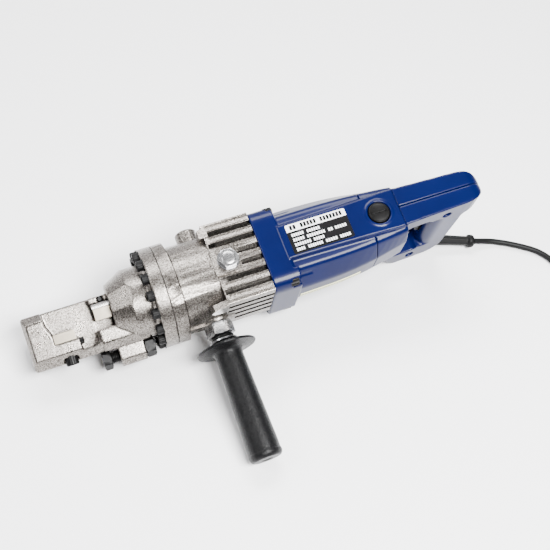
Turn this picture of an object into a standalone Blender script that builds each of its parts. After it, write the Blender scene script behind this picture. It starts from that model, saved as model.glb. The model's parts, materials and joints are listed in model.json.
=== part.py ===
"""Portable electro-hydraulic rebar cutter, built as an assembly of separate parts.

The tool frame has +X to the rear along the ram axis, +Y to the tool's left (away from the side
handle) and +Z up through the motor's top cover.  Its origin is on the ram axis at the front face of
the head flange.  Every part hangs from the empty "tool", which lays the machine down on a bench the
way it comes to rest: on the head, the rear handle and the tip of the side handle.

Lengths are written in millimetres and the builder functions turn them into metres.
"""

import math

import bmesh
import bpy
from mathutils import Matrix, Vector

MM = 0.001
GAP = 0.3                     # clearance between fixed neighbours
MERGE = 1e-5                  # metres

# Driving dimensions -------------------------------------------------------------------------------
# How the tool lies: lowered at the nose, leaning over on its side handle.
REST_PITCH = -5.579           # degrees about Y
REST_ROLL = 12.521            # degrees about X
TOOL_ORIGIN = (-121.07, 61.21, 48.23)   # where the flange centre stands above the bench

# Hydraulic head
FLANGE_R = 48.5
HEAD_FLANGE = (0.5, 13.0)
COLLAR_R = 35.0
CONE_FRONT_X, CONE_REAR_X = -38.5, -20.0
CONE_FRONT_R = 25.5
PISTON_BORE_R = 24.6
PISTON_R = 24.0
CHAMBER_FRONT_X = -24.0
ROD_R = 15.0
ROD_BORE_R = 15.4
RAM_STROKE = 23.0
JAW_ROLL = 18.0               # the jaw is clocked towards the side handle
BOLT_COUNT = 16
BOLT_CIRCLE_R = 42.9
FIRST_BOLT = 15.1             # degrees from the top towards the side handle
BOLT_R = 3.0
BOLT_HEAD_R = 5.0
BOLT_HEAD_H = 5.8

# Jaw, in its own frame: x to the rear, y away from the side handle, z out of the mouth
JAW_FRONT_X, JAW_REAR_X = -120.0, -34.0
JAW_FAR_Y, JAW_NEAR_Y = 17.8, -34.0
JAW_TOP_Z, JAW_FLOOR_Z, JAW_BOTTOM_Z = 18.0, -9.0, -30.0
NOSE_REAR_X = -99.0
SEAT_REAR_X = -76.0           # the fixed blade's cutting edge
MOUTH_REAR_X = -55.0
SHEAR_Y = -4.9                # plane between the two blades
STOPPER_Y, STOPPER_Z = -41.5, 0.0

# Pump housing
PUMP_FLANGE = (13.3, 24.5)
PUMP_BODY_R = 42.7
FIN_BLOCK = (62.0, 104.6)
BLOCK_HALF = 41.0
CAVITY_R = 33.0
CAVITY_X = 34.0
PLUG_X = 76.0
PAD_TOP_Z = 43.0
HANDLE_X = 52.4
BOSS_Y = -44.0
FAR_BOSS = {"y": 54.0, "r": 10.5, "hole_r": 4.5, "bottom": 38.0}

# Motor
MOTOR_FLANGE = (104.9, 136.6)
MOTOR_FLANGE_HALF = 42.0
MOTOR_REAR_X = 218.0
SPINE_Z = 43.0
BRUSH_X = 229.4
SCREW_Y, SCREW_Z = 36.5, 34.0

# Reduction gear: both shafts run along X
GEAR_MODULE = 1.0
PINION_TEETH, GEAR_TEETH = 10, 26
CENTRE_DISTANCE = GEAR_MODULE * (PINION_TEETH + GEAR_TEETH) / 2
GEAR_X = (86.0, 94.0)

# Cord
CORD_R = 3.25
CORD_Z = 3.45                 # height of the cord's centre where it lies on the bench
COIL_CENTRE = (364.0, -52.75)
COIL_RADII = (22.8, 52.6)
COIL_TOP_Z = 13.8

SEGMENTS = {"large": 32, "medium": 24, "small": 16, "tiny": 12}
BOLT_SIDES = 8


# Builders -----------------------------------------------------------------------------------------

def clear_scene():
    for old in list(bpy.data.objects):
        bpy.data.objects.remove(old, do_unlink=True)


def new_collection(name):
    collection = bpy.data.collections.new(name)
    bpy.context.scene.collection.children.link(collection)
    return collection


def material(name, colour, roughness, metallic):
    made = bpy.data.materials.new(name)
    made.use_nodes = True
    shader = made.node_tree.nodes["Principled BSDF"]
    shader.inputs["Base Color"].default_value = (*colour, 1.0)
    shader.inputs["Roughness"].default_value = roughness
    shader.inputs["Metallic"].default_value = metallic
    return made


clear_scene()
PARTS = new_collection("rebar_cutter")
CUTTERS = new_collection("cutters")

CAST = ((0.55, 0.53, 0.50), 0.42, 0.9)
BLADE_STEEL = ((0.66, 0.64, 0.60), 0.25, 1.0)
BRIGHT_STEEL = ((0.72, 0.72, 0.73), 0.18, 1.0)
BLACK_OXIDE = ((0.03, 0.03, 0.032), 0.35, 0.8)
ZINC = ((0.75, 0.75, 0.76), 0.25, 1.0)
BLUE = ((0.01, 0.035, 0.30), 0.15, 0.0)
BLACK_PLASTIC = ((0.02, 0.02, 0.022), 0.5, 0.0)
BLACK_RUBBER = ((0.025, 0.025, 0.027), 0.75, 0.0)
COPPER = ((0.75, 0.38, 0.22), 0.3, 1.0)
CARBON = ((0.05, 0.05, 0.05), 0.7, 0.2)
LAMINATION = ((0.35, 0.35, 0.37), 0.45, 0.9)
SEAL = ((0.05, 0.16, 0.12), 0.6, 0.0)
LABEL = ((0.04, 0.04, 0.045), 0.35, 0.0)


def empty(name, parent=None):
    made = bpy.data.objects.new(name, None)
    PARTS.objects.link(made)
    made.parent = parent
    return made


TOOL = empty("tool")
TOOL.location = Vector(TOOL_ORIGIN) * MM
TOOL.rotation_euler = (math.radians(REST_ROLL), math.radians(REST_PITCH), 0.0)
JAW = empty("jaw_frame", TOOL)
JAW.rotation_euler = (math.radians(JAW_ROLL), 0.0, 0.0)


def add(name, mesh, look=None, parent=TOOL, matrix=None):
    """Links a mesh as a part, or as a hidden cutter when it has no look."""
    made = bpy.data.objects.new(name, mesh)
    made.parent = parent
    if matrix is not None:
        made.matrix_local = matrix
    if look is None:
        CUTTERS.objects.link(made)
        made.hide_render = True
        made.display_type = "WIRE"
    else:
        PARTS.objects.link(made)
        mesh.materials.append(material(name, *look))
    return made


def finish_mesh(name, bm):
    bmesh.ops.scale(bm, vec=(MM, MM, MM), verts=bm.verts)
    bmesh.ops.recalc_face_normals(bm, faces=bm.faces)
    mesh = bpy.data.meshes.new(name)
    bm.to_mesh(mesh)
    bm.free()
    return mesh


def smooth(obj, degrees=35.0):
    obj.data.shade_smooth()
    obj.data.set_sharp_from_angle(angle=math.radians(degrees))


def box(name, xs, ys, zs, look=None, parent=TOOL):
    bm = bmesh.new()
    size = Matrix.Diagonal((xs[1] - xs[0], ys[1] - ys[0], zs[1] - zs[0], 1.0))
    centre = Vector(((xs[0] + xs[1]) / 2, (ys[0] + ys[1]) / 2, (zs[0] + zs[1]) / 2))
    bmesh.ops.create_cube(bm, size=1.0, matrix=Matrix.Translation(centre) @ size)
    return add(name, finish_mesh(name, bm), look, parent)


AXIS_TURNS = {
    "X": Matrix.Rotation(math.radians(90), 4, "Y"),
    "Y": Matrix.Rotation(math.radians(-90), 4, "X"),
    "Z": Matrix.Identity(4),
}


def cylinder(name, axis, start, end, centre, radius, look=None, parent=TOOL, segments=24,
             end_radius=None, phase=0.0):
    """A cylinder, cone or, with few segments, a prism from start to end along an axis."""
    bm = bmesh.new()
    far_radius = radius if end_radius is None else end_radius
    middle = {"X": ((start + end) / 2, *centre), "Y": (centre[0], (start + end) / 2, centre[1]),
              "Z": (*centre, (start + end) / 2)}[axis]
    turn = AXIS_TURNS[axis] @ Matrix.Rotation(math.radians(phase), 4, "Z")
    bmesh.ops.create_cone(bm, cap_ends=True, segments=segments, radius1=radius,
                          radius2=far_radius, depth=end - start,
                          matrix=Matrix.Translation(middle) @ turn)
    made = add(name, finish_mesh(name, bm), look, parent)
    if segments > 8:
        smooth(made)
    return made


def hexagon(name, axis, start, end, centre, across_flats, look=None, parent=TOOL, phase=0.0):
    radius = across_flats / 2 / math.cos(math.radians(30))
    return cylinder(name, axis, start, end, centre, radius, look, parent, 6, phase=phase)


def turned(name, profile, look=None, parent=TOOL, axis="X", centre=(0.0, 0.0), segments=48,
           closed=False):
    """A lathe-turned part.  The profile is (position along the axis, radius), written from the far
    end to the near end on its outer side; a closed profile makes a ring."""
    mesh = bpy.data.meshes.new(name)
    points = [(radius * MM, 0.0, along * MM) for along, radius in profile]
    edges = [(i, i + 1) for i in range(len(points) - 1)]
    if closed:
        edges.append((len(points) - 1, 0))
    mesh.from_pydata(points, edges, [])
    offset = {"X": (0.0, *centre), "Y": (centre[0], 0.0, centre[1]), "Z": (*centre, 0.0)}[axis]
    place = Matrix.Translation(Vector(offset) * MM) @ AXIS_TURNS[axis]
    made = add(name, mesh, look, parent, place)
    screw = made.modifiers.new("turn", "SCREW")
    screw.steps = segments
    screw.render_steps = segments
    screw.use_merge_vertices = True
    screw.merge_threshold = MERGE
    return made


def ring(name, xs, inner, outer, look=None, parent=TOOL, axis="X", centre=(0.0, 0.0), segments=32):
    profile = [(xs[1], inner), (xs[1], outer), (xs[0], outer), (xs[0], inner)]
    return turned(name, profile, look, parent, axis, centre, segments, closed=True)


def to_mesh(curve_object):
    """Turns a curve object into a mesh object of one welded body, in the same place."""
    bpy.context.view_layer.update()
    evaluated = curve_object.evaluated_get(bpy.context.evaluated_depsgraph_get())
    mesh = bpy.data.meshes.new_from_object(evaluated)
    bm = bmesh.new()
    bm.from_mesh(mesh)
    bmesh.ops.remove_doubles(bm, verts=bm.verts, dist=MERGE)
    bmesh.ops.recalc_face_normals(bm, faces=bm.faces)
    bm.to_mesh(mesh)
    bm.free()
    made = bpy.data.objects.new(curve_object.name, mesh)
    made.parent = curve_object.parent
    made.matrix_local = curve_object.matrix_local.copy()
    for collection in curve_object.users_collection:
        collection.objects.link(made)
    made.hide_render = curve_object.hide_render
    made.display_type = curve_object.display_type
    name = curve_object.name
    bpy.data.objects.remove(curve_object)
    made.name = name
    return made


PLATE_TURNS = {
    "X": Matrix(((0, 0, 1, 0), (1, 0, 0, 0), (0, 1, 0, 0), (0, 0, 0, 1))),
    "Y": Matrix(((1, 0, 0, 0), (0, 0, -1, 0), (0, 1, 0, 0), (0, 0, 0, 1))),
    "Z": Matrix.Identity(4),
}


def plate(name, outline, span, axis="Z", look=None, parent=TOOL):
    """A flat outline, drawn in the two other axes in order, filled and thickened over a span."""
    curve = bpy.data.curves.new(name, "CURVE")
    curve.dimensions = "2D"
    curve.fill_mode = "BOTH"
    curve.extrude = (span[1] - span[0]) / 2 * MM
    spline = curve.splines.new("POLY")
    spline.points.add(len(outline) - 1)
    for point, (across, up) in zip(spline.points, outline):
        point.co = (across * MM, up * MM, 0.0, 1.0)
    spline.use_cyclic_u = True
    middle = (span[0] + span[1]) / 2 * MM
    slide = {"X": (middle, 0, 0), "Y": (0, middle, 0), "Z": (0, 0, middle)}[axis]
    made = add(name, curve, look, parent, Matrix.Translation(slide) @ PLATE_TURNS[axis])
    return to_mesh(made)


def tube(name, points, radius, look=None, parent=TOOL, resolution=2):
    """A round bar along a route, with filled ends."""
    curve = bpy.data.curves.new(name, "CURVE")
    curve.dimensions = "3D"
    curve.bevel_depth = radius * MM
    curve.bevel_resolution = resolution
    curve.use_fill_caps = True
    spline = curve.splines.new("POLY")
    spline.points.add(len(points) - 1)
    for point, place in zip(spline.points, points):
        point.co = (*(Vector(place) * MM), 1.0)
    return to_mesh(add(name, curve, look, parent))


def loft(name, rings, look=None, parent=TOOL):
    """A closed skin through rings of equal point counts, each ring a list of (x, y, z)."""
    bm = bmesh.new()
    rows = [[bm.verts.new(point) for point in points] for points in rings]
    count = len(rows[0])
    for first, second in zip(rows, rows[1:]):
        for i in range(count):
            j = (i + 1) % count
            bm.faces.new((first[i], first[j], second[j], second[i]))
    bm.faces.new(rows[0])
    bm.faces.new(rows[-1])
    return add(name, finish_mesh(name, bm), look, parent)


def cut(part, *cutters):
    for cutter in cutters:
        modifier = part.modifiers.new("cut", "BOOLEAN")
        modifier.operation = "DIFFERENCE"
        modifier.object = cutter
    return part


def join(part, *others):
    for other in others:
        modifier = part.modifiers.new("join", "BOOLEAN")
        modifier.operation = "UNION"
        modifier.object = other
    return part


def keep(part, cutter):
    modifier = part.modifiers.new("keep", "BOOLEAN")
    modifier.operation = "INTERSECT"
    modifier.object = cutter
    return part


def on_circle(radius, degrees):
    """A (y, z) point at an angle from the top towards the side handle."""
    angle = math.radians(degrees)
    return -radius * math.sin(angle), radius * math.cos(angle)


def arc(centre, radius, start, end, steps):
    """Points on an arc in a plane, from a start to an end angle in degrees."""
    angles = [math.radians(start + (end - start) * i / steps) for i in range(steps + 1)]
    return [(centre[0] + radius * math.cos(a), centre[1] + radius * math.sin(a)) for a in angles]


def rounded_square(half, radius, steps=3):
    points = []
    for start, sy, sz in ((0, 1, 1), (90, -1, 1), (180, -1, -1), (270, 1, -1)):
        centre = (sy * (half - radius), sz * (half - radius))
        points += arc(centre, radius, start, start + 90, steps)
    return points


def boxes(name, spans, parent=TOOL):
    """One cutter made of several boxes that don't touch, each given as (xs, ys, zs)."""
    bm = bmesh.new()
    for xs, ys, zs in spans:
        size = Matrix.Diagonal((xs[1] - xs[0], ys[1] - ys[0], zs[1] - zs[0], 1.0))
        centre = Vector(((xs[0] + xs[1]) / 2, (ys[0] + ys[1]) / 2, (zs[0] + zs[1]) / 2))
        bmesh.ops.create_cube(bm, size=1.0, matrix=Matrix.Translation(centre) @ size)
    return add(name, finish_mesh(name, bm), None, parent)


def box_cutters(name, spans, parent=TOOL):
    """Separate box cutters, for boxes that overlap one another."""
    return [box(f"{name}_{i}", *span, parent=parent) for i, span in enumerate(spans)]


def bolt_ring(name, radius, xs, look=None, head=None):
    """Sixteen pins on the flange's bolt circle as one mesh, with heads when a head is given."""
    bm = bmesh.new()
    for i in range(BOLT_COUNT):
        y, z = on_circle(BOLT_CIRCLE_R, FIRST_BOLT + 360.0 / BOLT_COUNT * i)
        steps = [(xs[1], 0.0), (xs[1], radius), (xs[0], radius)]
        if head:
            steps += [(xs[0], head[0]), (xs[0] - head[1], head[0])]
        steps.append((steps[-1][0], 0.0))
        rows = []
        for x, r in steps[1:-1]:
            angles = [2 * math.pi * k / BOLT_SIDES for k in range(BOLT_SIDES)]
            rows.append([bm.verts.new((x, y + r * math.cos(a), z + r * math.sin(a))) for a in angles])
        for first, second in zip(rows, rows[1:]):
            for k in range(BOLT_SIDES):
                j = (k + 1) % BOLT_SIDES
                bm.faces.new((first[k], first[j], second[j], second[k]))
        bm.faces.new(rows[0])
        bm.faces.new(rows[-1])
    return add(name, finish_mesh(name, bm), look)


# Hydraulic head -----------------------------------------------------------------------------------

CHEEK_Y = -14.2               # inner face of the near cheek
CHEEK_TOP_Z = 21.0
PAD_Y = 11.8                  # inner face of the guide pad on the far side
PAD_TOP = 10.0
RAM_FACE_X = -38.4
HOLDER_Y = 7.1                # the blade is screwed against this face of the ram
FIXED_SCREW_X, FIXED_SCREW_Z = -86.0, 9.5
MOVING_SCREW_X, MOVING_SCREW_Z = -46.5, 1.0
GUIDE_SCREW = (-45.3, 14.8)
LUG_X = (-43.2, -18.8)
STOPPER_R = 6.0


def jaw_section(top, chamfer):
    """The jaw casting's cross-section up to a height, drawn in (y, z)."""
    return [(JAW_FAR_Y, top - chamfer), (JAW_FAR_Y - chamfer * 0.85, top),
            (JAW_NEAR_Y + chamfer * 1.2, top), (JAW_NEAR_Y, top - chamfer * 1.1),
            (JAW_NEAR_Y, -20.0), (-14.0, JAW_BOTTOM_Z), (11.0, JAW_BOTTOM_Z), (JAW_FAR_Y, -23.0)]


def head_casting():
    head = turned("head_casting", [
        (HEAD_FLANGE[1], 0.0), (HEAD_FLANGE[1], FLANGE_R), (HEAD_FLANGE[0], FLANGE_R),
        (HEAD_FLANGE[0], COLLAR_R), (CONE_REAR_X, COLLAR_R), (CONE_FRONT_X, CONE_FRONT_R),
        (CONE_FRONT_X, 0.0)], CAST, segments=SEGMENTS["large"])
    nose = plate("nose_solid", jaw_section(JAW_TOP_Z, 8.0), (JAW_FRONT_X, JAW_REAR_X), "X",
                 parent=JAW)
    far_edge = JAW_FAR_Y + 5.0
    top_edge = JAW_TOP_Z + 10.0
    mouth = box_cutters("mouth_cut", [
        ((NOSE_REAR_X, JAW_REAR_X + 5.0), (CHEEK_Y, far_edge), (JAW_FLOOR_Z, top_edge)),
        ((SEAT_REAR_X + 2.5, MOUTH_REAR_X - 1.5), (JAW_NEAR_Y + 8.0, CHEEK_Y + 1.0),
         (JAW_FLOOR_Z, top_edge)),
    ], JAW)
    cut(nose, *mouth)
    cheek = plate("cheek_solid", [
        (CHEEK_Y - 0.1, CHEEK_TOP_Z), (-25.0, CHEEK_TOP_Z), (-30.5, CHEEK_TOP_Z - 2.5),
        (-34.3, CHEEK_TOP_Z - 8.0), (-34.3, -14.0), (CHEEK_Y - 0.1, -15.0)],
        (MOUTH_REAR_X, -15.0), "X", parent=JAW)
    pad = box("pad_solid", (MOUTH_REAR_X - 1.0, -30.0), (PAD_Y, JAW_FAR_Y), (-20.0, PAD_TOP),
              parent=JAW)
    lug = plate("lug_solid", [
        (-25.0, 14.0), (-46.0, 14.0), (-52.3, 8.0), (-52.3, -6.0), (-46.0, -13.0), (-25.0, -15.0)],
        LUG_X, "X", parent=JAW)
    join(head, nose, cheek, pad, lug)
    rod_bore = cylinder("rod_bore", "X", CONE_FRONT_X - 0.1, CHAMBER_FRONT_X + 1.0, (0, 0),
                        ROD_BORE_R, segments=SEGMENTS["large"])
    chamber = cylinder("chamber_cut", "X", CHAMBER_FRONT_X, HEAD_FLANGE[1] + 1.0, (0, 0),
                       PISTON_BORE_R, segments=SEGMENTS["large"])
    nut_room = cylinder("nut_room", "X", LUG_X[1], HEAD_FLANGE[0], (STOPPER_Y, STOPPER_Z), 11.6,
                        parent=JAW)
    stopper_room = cylinder("stopper_room", "X", -73.5, LUG_X[0], (STOPPER_Y, STOPPER_Z), 11.2,
                            parent=JAW)
    stopper_hole = cylinder("stopper_hole", "X", LUG_X[0] - 1.0, LUG_X[1] + 1.0,
                            (STOPPER_Y, STOPPER_Z), STOPPER_R + 0.4, parent=JAW)
    seat_hole = cylinder("seat_hole", "Y", JAW_NEAR_Y - 1.0, CHEEK_Y + 1.0,
                         (FIXED_SCREW_X, FIXED_SCREW_Z), 3.9, parent=JAW, segments=16)
    head_room = cylinder("head_room", "Y", JAW_NEAR_Y - 5.0, -28.7,
                         (FIXED_SCREW_X, FIXED_SCREW_Z), 6.6, parent=JAW, segments=16)
    guide_hole = cylinder("guide_hole", "Z", PAD_TOP - 8.0, PAD_TOP + 1.0, GUIDE_SCREW, 2.5,
                          parent=JAW, segments=12)
    groove = ring("head_groove", (HEAD_FLANGE[1] - 1.8, HEAD_FLANGE[1] + 1.0),
                  BOLT_CIRCLE_R - 1.0, BOLT_CIRCLE_R + 1.0)
    bolt_holes = bolt_ring("head_bolt_holes", BOLT_R + GAP + 0.05, (-1.0, HEAD_FLANGE[1] + 1.0))
    cut(head, rod_bore, chamber, nut_room, stopper_room, stopper_hole, seat_hole, head_room, guide_hole,
        groove, bolt_holes)
    return head


def fixed_blade():
    blade = box("fixed_blade", (-96.2, SEAT_REAR_X), (CHEEK_Y + GAP, SHEAR_Y),
                (JAW_FLOOR_Z + GAP, JAW_TOP_Z - 1.6), BLADE_STEEL, JAW)
    hole = cylinder("blade_tap", "Y", CHEEK_Y - 1.0, -8.7, (FIXED_SCREW_X, FIXED_SCREW_Z), 3.9,
                    parent=JAW, segments=16)
    cut(blade, hole)
    screw = turned("fixed_blade_screw", [
        (-9.0, 0.0), (-9.0, 3.5), (-29.0, 3.5), (-29.0, 6.0), (-36.6, 6.0), (-36.6, 2.8),
        (-33.0, 2.8), (-33.0, 0.0)], BLACK_OXIDE, JAW, "Y", (FIXED_SCREW_X, FIXED_SCREW_Z), 16)
    return blade, screw


def ram():
    """Rod and piston in one; the rod's front is milled to slide over the jaw floor."""
    rod = turned("ram", [
        (20.0, 0.0), (20.0, PISTON_R), (16.5, PISTON_R), (16.5, 21.0), (12.5, 21.0),
        (12.5, PISTON_R), (8.0, PISTON_R), (8.0, ROD_R), (MOUTH_REAR_X, ROD_R),
        (MOUTH_REAR_X, 0.0)], BRIGHT_STEEL, segments=SEGMENTS["large"])
    slide_end = RAM_FACE_X + RAM_STROKE + 1.0
    front = MOUTH_REAR_X - 1.0
    mill = box_cutters("ram_mill", [
        ((front, slide_end), (-20.0, 20.0), (-20.0, JAW_FLOOR_Z + GAP)),
        ((front, slide_end), (PAD_Y - GAP, 20.0), (-8.9, 20.0)),
        ((front, slide_end), (-20.0, CHEEK_Y + GAP), (-8.9, 20.0)),
        ((front, RAM_FACE_X), (CHEEK_Y, HOLDER_Y), (-8.9, 20.0)),
        ((front, RAM_FACE_X), (HOLDER_Y - 1.0, 14.0), (12.3, 20.0)),
    ], JAW)
    hole = cylinder("holder_hole", "Y", 6.0, 14.0, (MOVING_SCREW_X, MOVING_SCREW_Z), 2.9,
                    parent=JAW, segments=12)
    cut(rod, *mill, hole)
    ring("piston_seal", (12.8, 16.2), 21.3, PISTON_R + 0.2, SEAL, segments=SEGMENTS["large"])
    blade = box("moving_blade", (MOUTH_REAR_X, RAM_FACE_X - GAP), (SHEAR_Y + GAP, HOLDER_Y - GAP),
                (JAW_FLOOR_Z + GAP, 12.0), BLADE_STEEL, JAW)
    tap = cylinder("moving_tap", "Y", 1.0, 8.0, (MOVING_SCREW_X, MOVING_SCREW_Z), 2.9, parent=JAW,
                   segments=12)
    cut(blade, tap)
    cylinder("moving_blade_screw", "Y", 1.5, PAD_Y - 2 * GAP, (MOVING_SCREW_X, MOVING_SCREW_Z),
             2.5, BLACK_OXIDE, JAW, 12)
    return rod


def helix(axis, start, end, centre, radius, turns, per_turn=12):
    """A route winding along an axis."""
    points = []
    for i in range(turns * per_turn + 1):
        angle = 2 * math.pi * i / per_turn
        along = start + (end - start) * i / (turns * per_turn)
        a, b = radius * math.cos(angle), radius * math.sin(angle)
        if axis == "X":
            points.append((along, centre[0] + a, centre[1] + b))
        else:
            points.append((centre[0] + a, centre[1] + b, along))
    return points


SPRING_WIRE_R = 1.4


def head_details():
    head_casting()
    fixed_blade()
    ram()
    tube("return_spring", helix("X", CHAMBER_FRONT_X + GAP + SPRING_WIRE_R,
                                8.0 - GAP - SPRING_WIRE_R, (0, 0), 19.8, 5),
         SPRING_WIRE_R, BRIGHT_STEEL, resolution=1)
    ring("rod_wiper", (-27.5, CHAMBER_FRONT_X - 1.0), ROD_R + 0.1, ROD_BORE_R - 0.1, SEAL,
         segments=SEGMENTS["large"])
    cylinder("ram_guide_screw", "Z", PAD_TOP - 7.5, PAD_TOP - 0.8, GUIDE_SCREW, 2.2, BLACK_OXIDE,
             JAW, 12)
    bolt = hexagon("stopper_bolt", "X", -59.4, -51.0, (STOPPER_Y, STOPPER_Z), 18.0, BLACK_OXIDE,
                   JAW)
    shank = cylinder("stopper_shank", "X", -52.0, -9.5, (STOPPER_Y, STOPPER_Z), STOPPER_R,
                     parent=JAW, segments=16)
    join(bolt, shank)
    nut = hexagon("stopper_nut", "X", LUG_X[1] + GAP, -8.8, (STOPPER_Y, STOPPER_Z), 18.0,
                  BLACK_OXIDE, JAW)
    cut(nut, cylinder("nut_bore", "X", -25.0, 0.0, (STOPPER_Y, STOPPER_Z), STOPPER_R + 0.4,
                      parent=JAW, segments=16))
    bolts = bolt_ring("flange_bolts", BOLT_R, (HEAD_FLANGE[0] - GAP, 22.0), BLACK_OXIDE,
                      (BOLT_HEAD_R, BOLT_HEAD_H))
    join(bolts, ring("bolt_link", (11.5, 14.8), BOLT_CIRCLE_R - 0.7, BOLT_CIRCLE_R + 0.7))


head_details()


# Pump ---------------------------------------------------------------------------------------------

CAM_Z = -CENTRE_DISTANCE
ECCENTRICITY = 1.5
PLUNGER_X = 65.0
FIN_PITCH = 11.8
FIN_GROOVE = 5.2
FIN_DEPTH = 4.0
STUD_R = 5.8


def fin_grooves():
    """Grooves between the cooling fins, along X on all four sides of the block."""
    reach = (FIN_BLOCK[0] + 4.0, FIN_BLOCK[1] + 1.0)
    high = (BLOCK_HALF - FIN_DEPTH, BLOCK_HALF + 1.0)
    low = (-high[1], -high[0])

    def across(step):
        return ((step - 0.5) * FIN_PITCH - FIN_GROOVE / 2, (step - 0.5) * FIN_PITCH + FIN_GROOVE / 2)

    spans = [(reach, across(step), high) for step in (-2, -1, 0, 1, 2, 3)]
    spans += [(reach, side, across(step)) for side in (high, low) for step in (0, 1, 2, 3)]
    spans += [(reach, across(step), low) for step in (0, 1)]
    return boxes("fin_grooves", spans)


def pump_housing():
    housing = turned("pump_housing", [
        (FIN_BLOCK[0] + 2.0, 0.0), (FIN_BLOCK[0] + 2.0, PUMP_BODY_R),
        (PUMP_FLANGE[1], PUMP_BODY_R), (PUMP_FLANGE[1], FLANGE_R), (PUMP_FLANGE[0], FLANGE_R),
        (PUMP_FLANGE[0], 0.0)], CAST, segments=SEGMENTS["large"])
    h = BLOCK_HALF
    block = plate("fin_block", [
        (h, h), (-h, h), (-h, -18.0), (-36.0, -28.0), (-27.0, -36.0), (-14.0, -h), (14.0, -h),
        (27.0, -36.0), (36.0, -28.0), (h, -18.0)], FIN_BLOCK, "X")
    cut(block, fin_grooves())
    pad = box("plug_pad", (FIN_BLOCK[0] - 1.0, 87.0), (-12.6, 12.9), (30.0, PAD_TOP_Z))
    boss = cylinder("handle_boss", "Y", BOSS_Y, -20.0, (HANDLE_X, 0.0), 13.5)
    far_boss = cylinder("far_boss", "Y", 20.0, FAR_BOSS["y"], (HANDLE_X, 0.0), FAR_BOSS["r"])
    join(housing, block, pad, boss, far_boss)
    chamber = cylinder("rear_chamber", "X", PUMP_FLANGE[0] - 1.0, 28.0, (0, 0), PISTON_BORE_R,
                       segments=SEGMENTS["large"])
    passage = cylinder("oil_passage", "X", 27.0, CAVITY_X + 1.0, (0, 8.0), 3.0, segments=12)
    cavity = cylinder("pump_cavity", "X", CAVITY_X, FIN_BLOCK[1] + 1.0, (0, 0), CAVITY_R,
                      segments=SEGMENTS["large"])
    fill = cylinder("fill_hole", "Z", 25.0, PAD_TOP_Z + 1.0, (PLUG_X, 0.0), 6.4, segments=16)
    stud_hole = cylinder("stud_hole", "Y", BOSS_Y - 2.0, -35.0, (HANDLE_X, 0.0), STUD_R + 0.4,
                         segments=16)
    far_hole = cylinder("far_hole", "Y", FAR_BOSS["bottom"], FAR_BOSS["y"] + 1.0, (HANDLE_X, 0.0),
                        FAR_BOSS["hole_r"], segments=16)
    groove = ring("pump_groove", (PUMP_FLANGE[0] - 1.0, PUMP_FLANGE[0] + 1.8),
                  BOLT_CIRCLE_R - 1.0, BOLT_CIRCLE_R + 1.0)
    holes = bolt_ring("pump_bolt_holes", BOLT_R + GAP + 0.05, (12.0, 22.5))
    cut(housing, chamber, passage, cavity, fill, stud_hole, far_hole, groove, holes)
    return housing


def pump_block():
    """The pump's body, with the plunger's bore over the eccentric."""
    block = cylinder("pump_block", "X", CAVITY_X + GAP, 56.0, (0, 0), CAVITY_R - 0.45, ZINC,
                     segments=SEGMENTS["large"])
    lug = box("plunger_lug", (55.0, 73.0), (-11.0, 11.0), (4.0, 20.0))
    join(block, lug)
    bearing = cylinder("front_pocket", "X", 49.2, 57.0, (0.0, CAM_Z), 11.0, segments=24)
    bore = cylinder("plunger_bore", "Z", 3.0, 17.0, (PLUNGER_X, 0.0), 4.4, segments=16)
    inlet = cylinder("inlet", "X", 30.0, 57.0, (0.0, 8.0), 2.5, segments=12)
    cut(block, bearing, bore, inlet)
    return block


def gear_outline(teeth, centre, first_tooth):
    """A stub-tooth involute gear's outline.  The first tooth's centre is at an angle in degrees."""
    pressure = math.radians(25.0)
    pitch_r = GEAR_MODULE * teeth / 2
    base_r = pitch_r * math.cos(pressure)
    root_r, tip_r = pitch_r - 1.15 * GEAR_MODULE, pitch_r + 0.8 * GEAR_MODULE
    backlash = 0.15 / pitch_r
    involute = math.tan(pressure) - pressure
    flank = []
    low_r = max(base_r, root_r)
    for i in range(3):
        r = low_r + (tip_r - low_r) * i / 2
        swing = math.acos(min(1.0, base_r / r))
        half = math.pi / 2 / teeth + involute - (math.tan(swing) - swing) - backlash
        flank.append((r, half))
    if low_r > root_r:
        flank.insert(0, (root_r, flank[0][1]))
    points = []
    for tooth in range(teeth):
        middle = math.radians(first_tooth) + 2 * math.pi * tooth / teeth
        for r, half in flank:
            points.append((r, middle - half))
        for r, half in reversed(flank):
            points.append((r, middle + half))
    return [(centre[0] + r * math.cos(a), centre[1] + r * math.sin(a)) for r, a in points]


def camshaft():
    axis = (0.0, CAM_Z)
    shaft = turned("camshaft", [
        (103.6, 0.0), (103.6, 5.0), (94.2, 5.0), (94.2, 5.5), (85.7, 5.5), (85.7, 7.0),
        (69.0, 7.0), (69.0, 3.5), (61.0, 3.5), (61.0, 7.0), (57.5, 7.0), (57.5, 5.0),
        (49.8, 5.0), (49.8, 0.0)], BRIGHT_STEEL, centre=axis, segments=24)
    cam = cylinder("cam_solid", "X", 60.5, 69.5, (0.0, CAM_Z + ECCENTRICITY), 6.0)
    join(shaft, cam)
    ring("eccentric_bearing", (61.3, 68.7), 6.3, 9.5, BRIGHT_STEEL,
         centre=(0.0, CAM_Z + ECCENTRICITY))
    ring("cam_front_bearing", (49.5, 56.0), 5.3, 10.6, BRIGHT_STEEL, centre=axis)
    ring("cam_rear_bearing", (99.6, 103.9), 5.3, 8.5, BRIGHT_STEEL, centre=axis)
    gear = plate("cam_gear", gear_outline(GEAR_TEETH, axis, 90.0 + 180.0 / GEAR_TEETH), GEAR_X, "X",
                 BRIGHT_STEEL)
    cut(gear, cylinder("gear_bore", "X", GEAR_X[0] - 1.0, GEAR_X[1] + 1.0, axis, 5.8))
    return shaft


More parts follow.
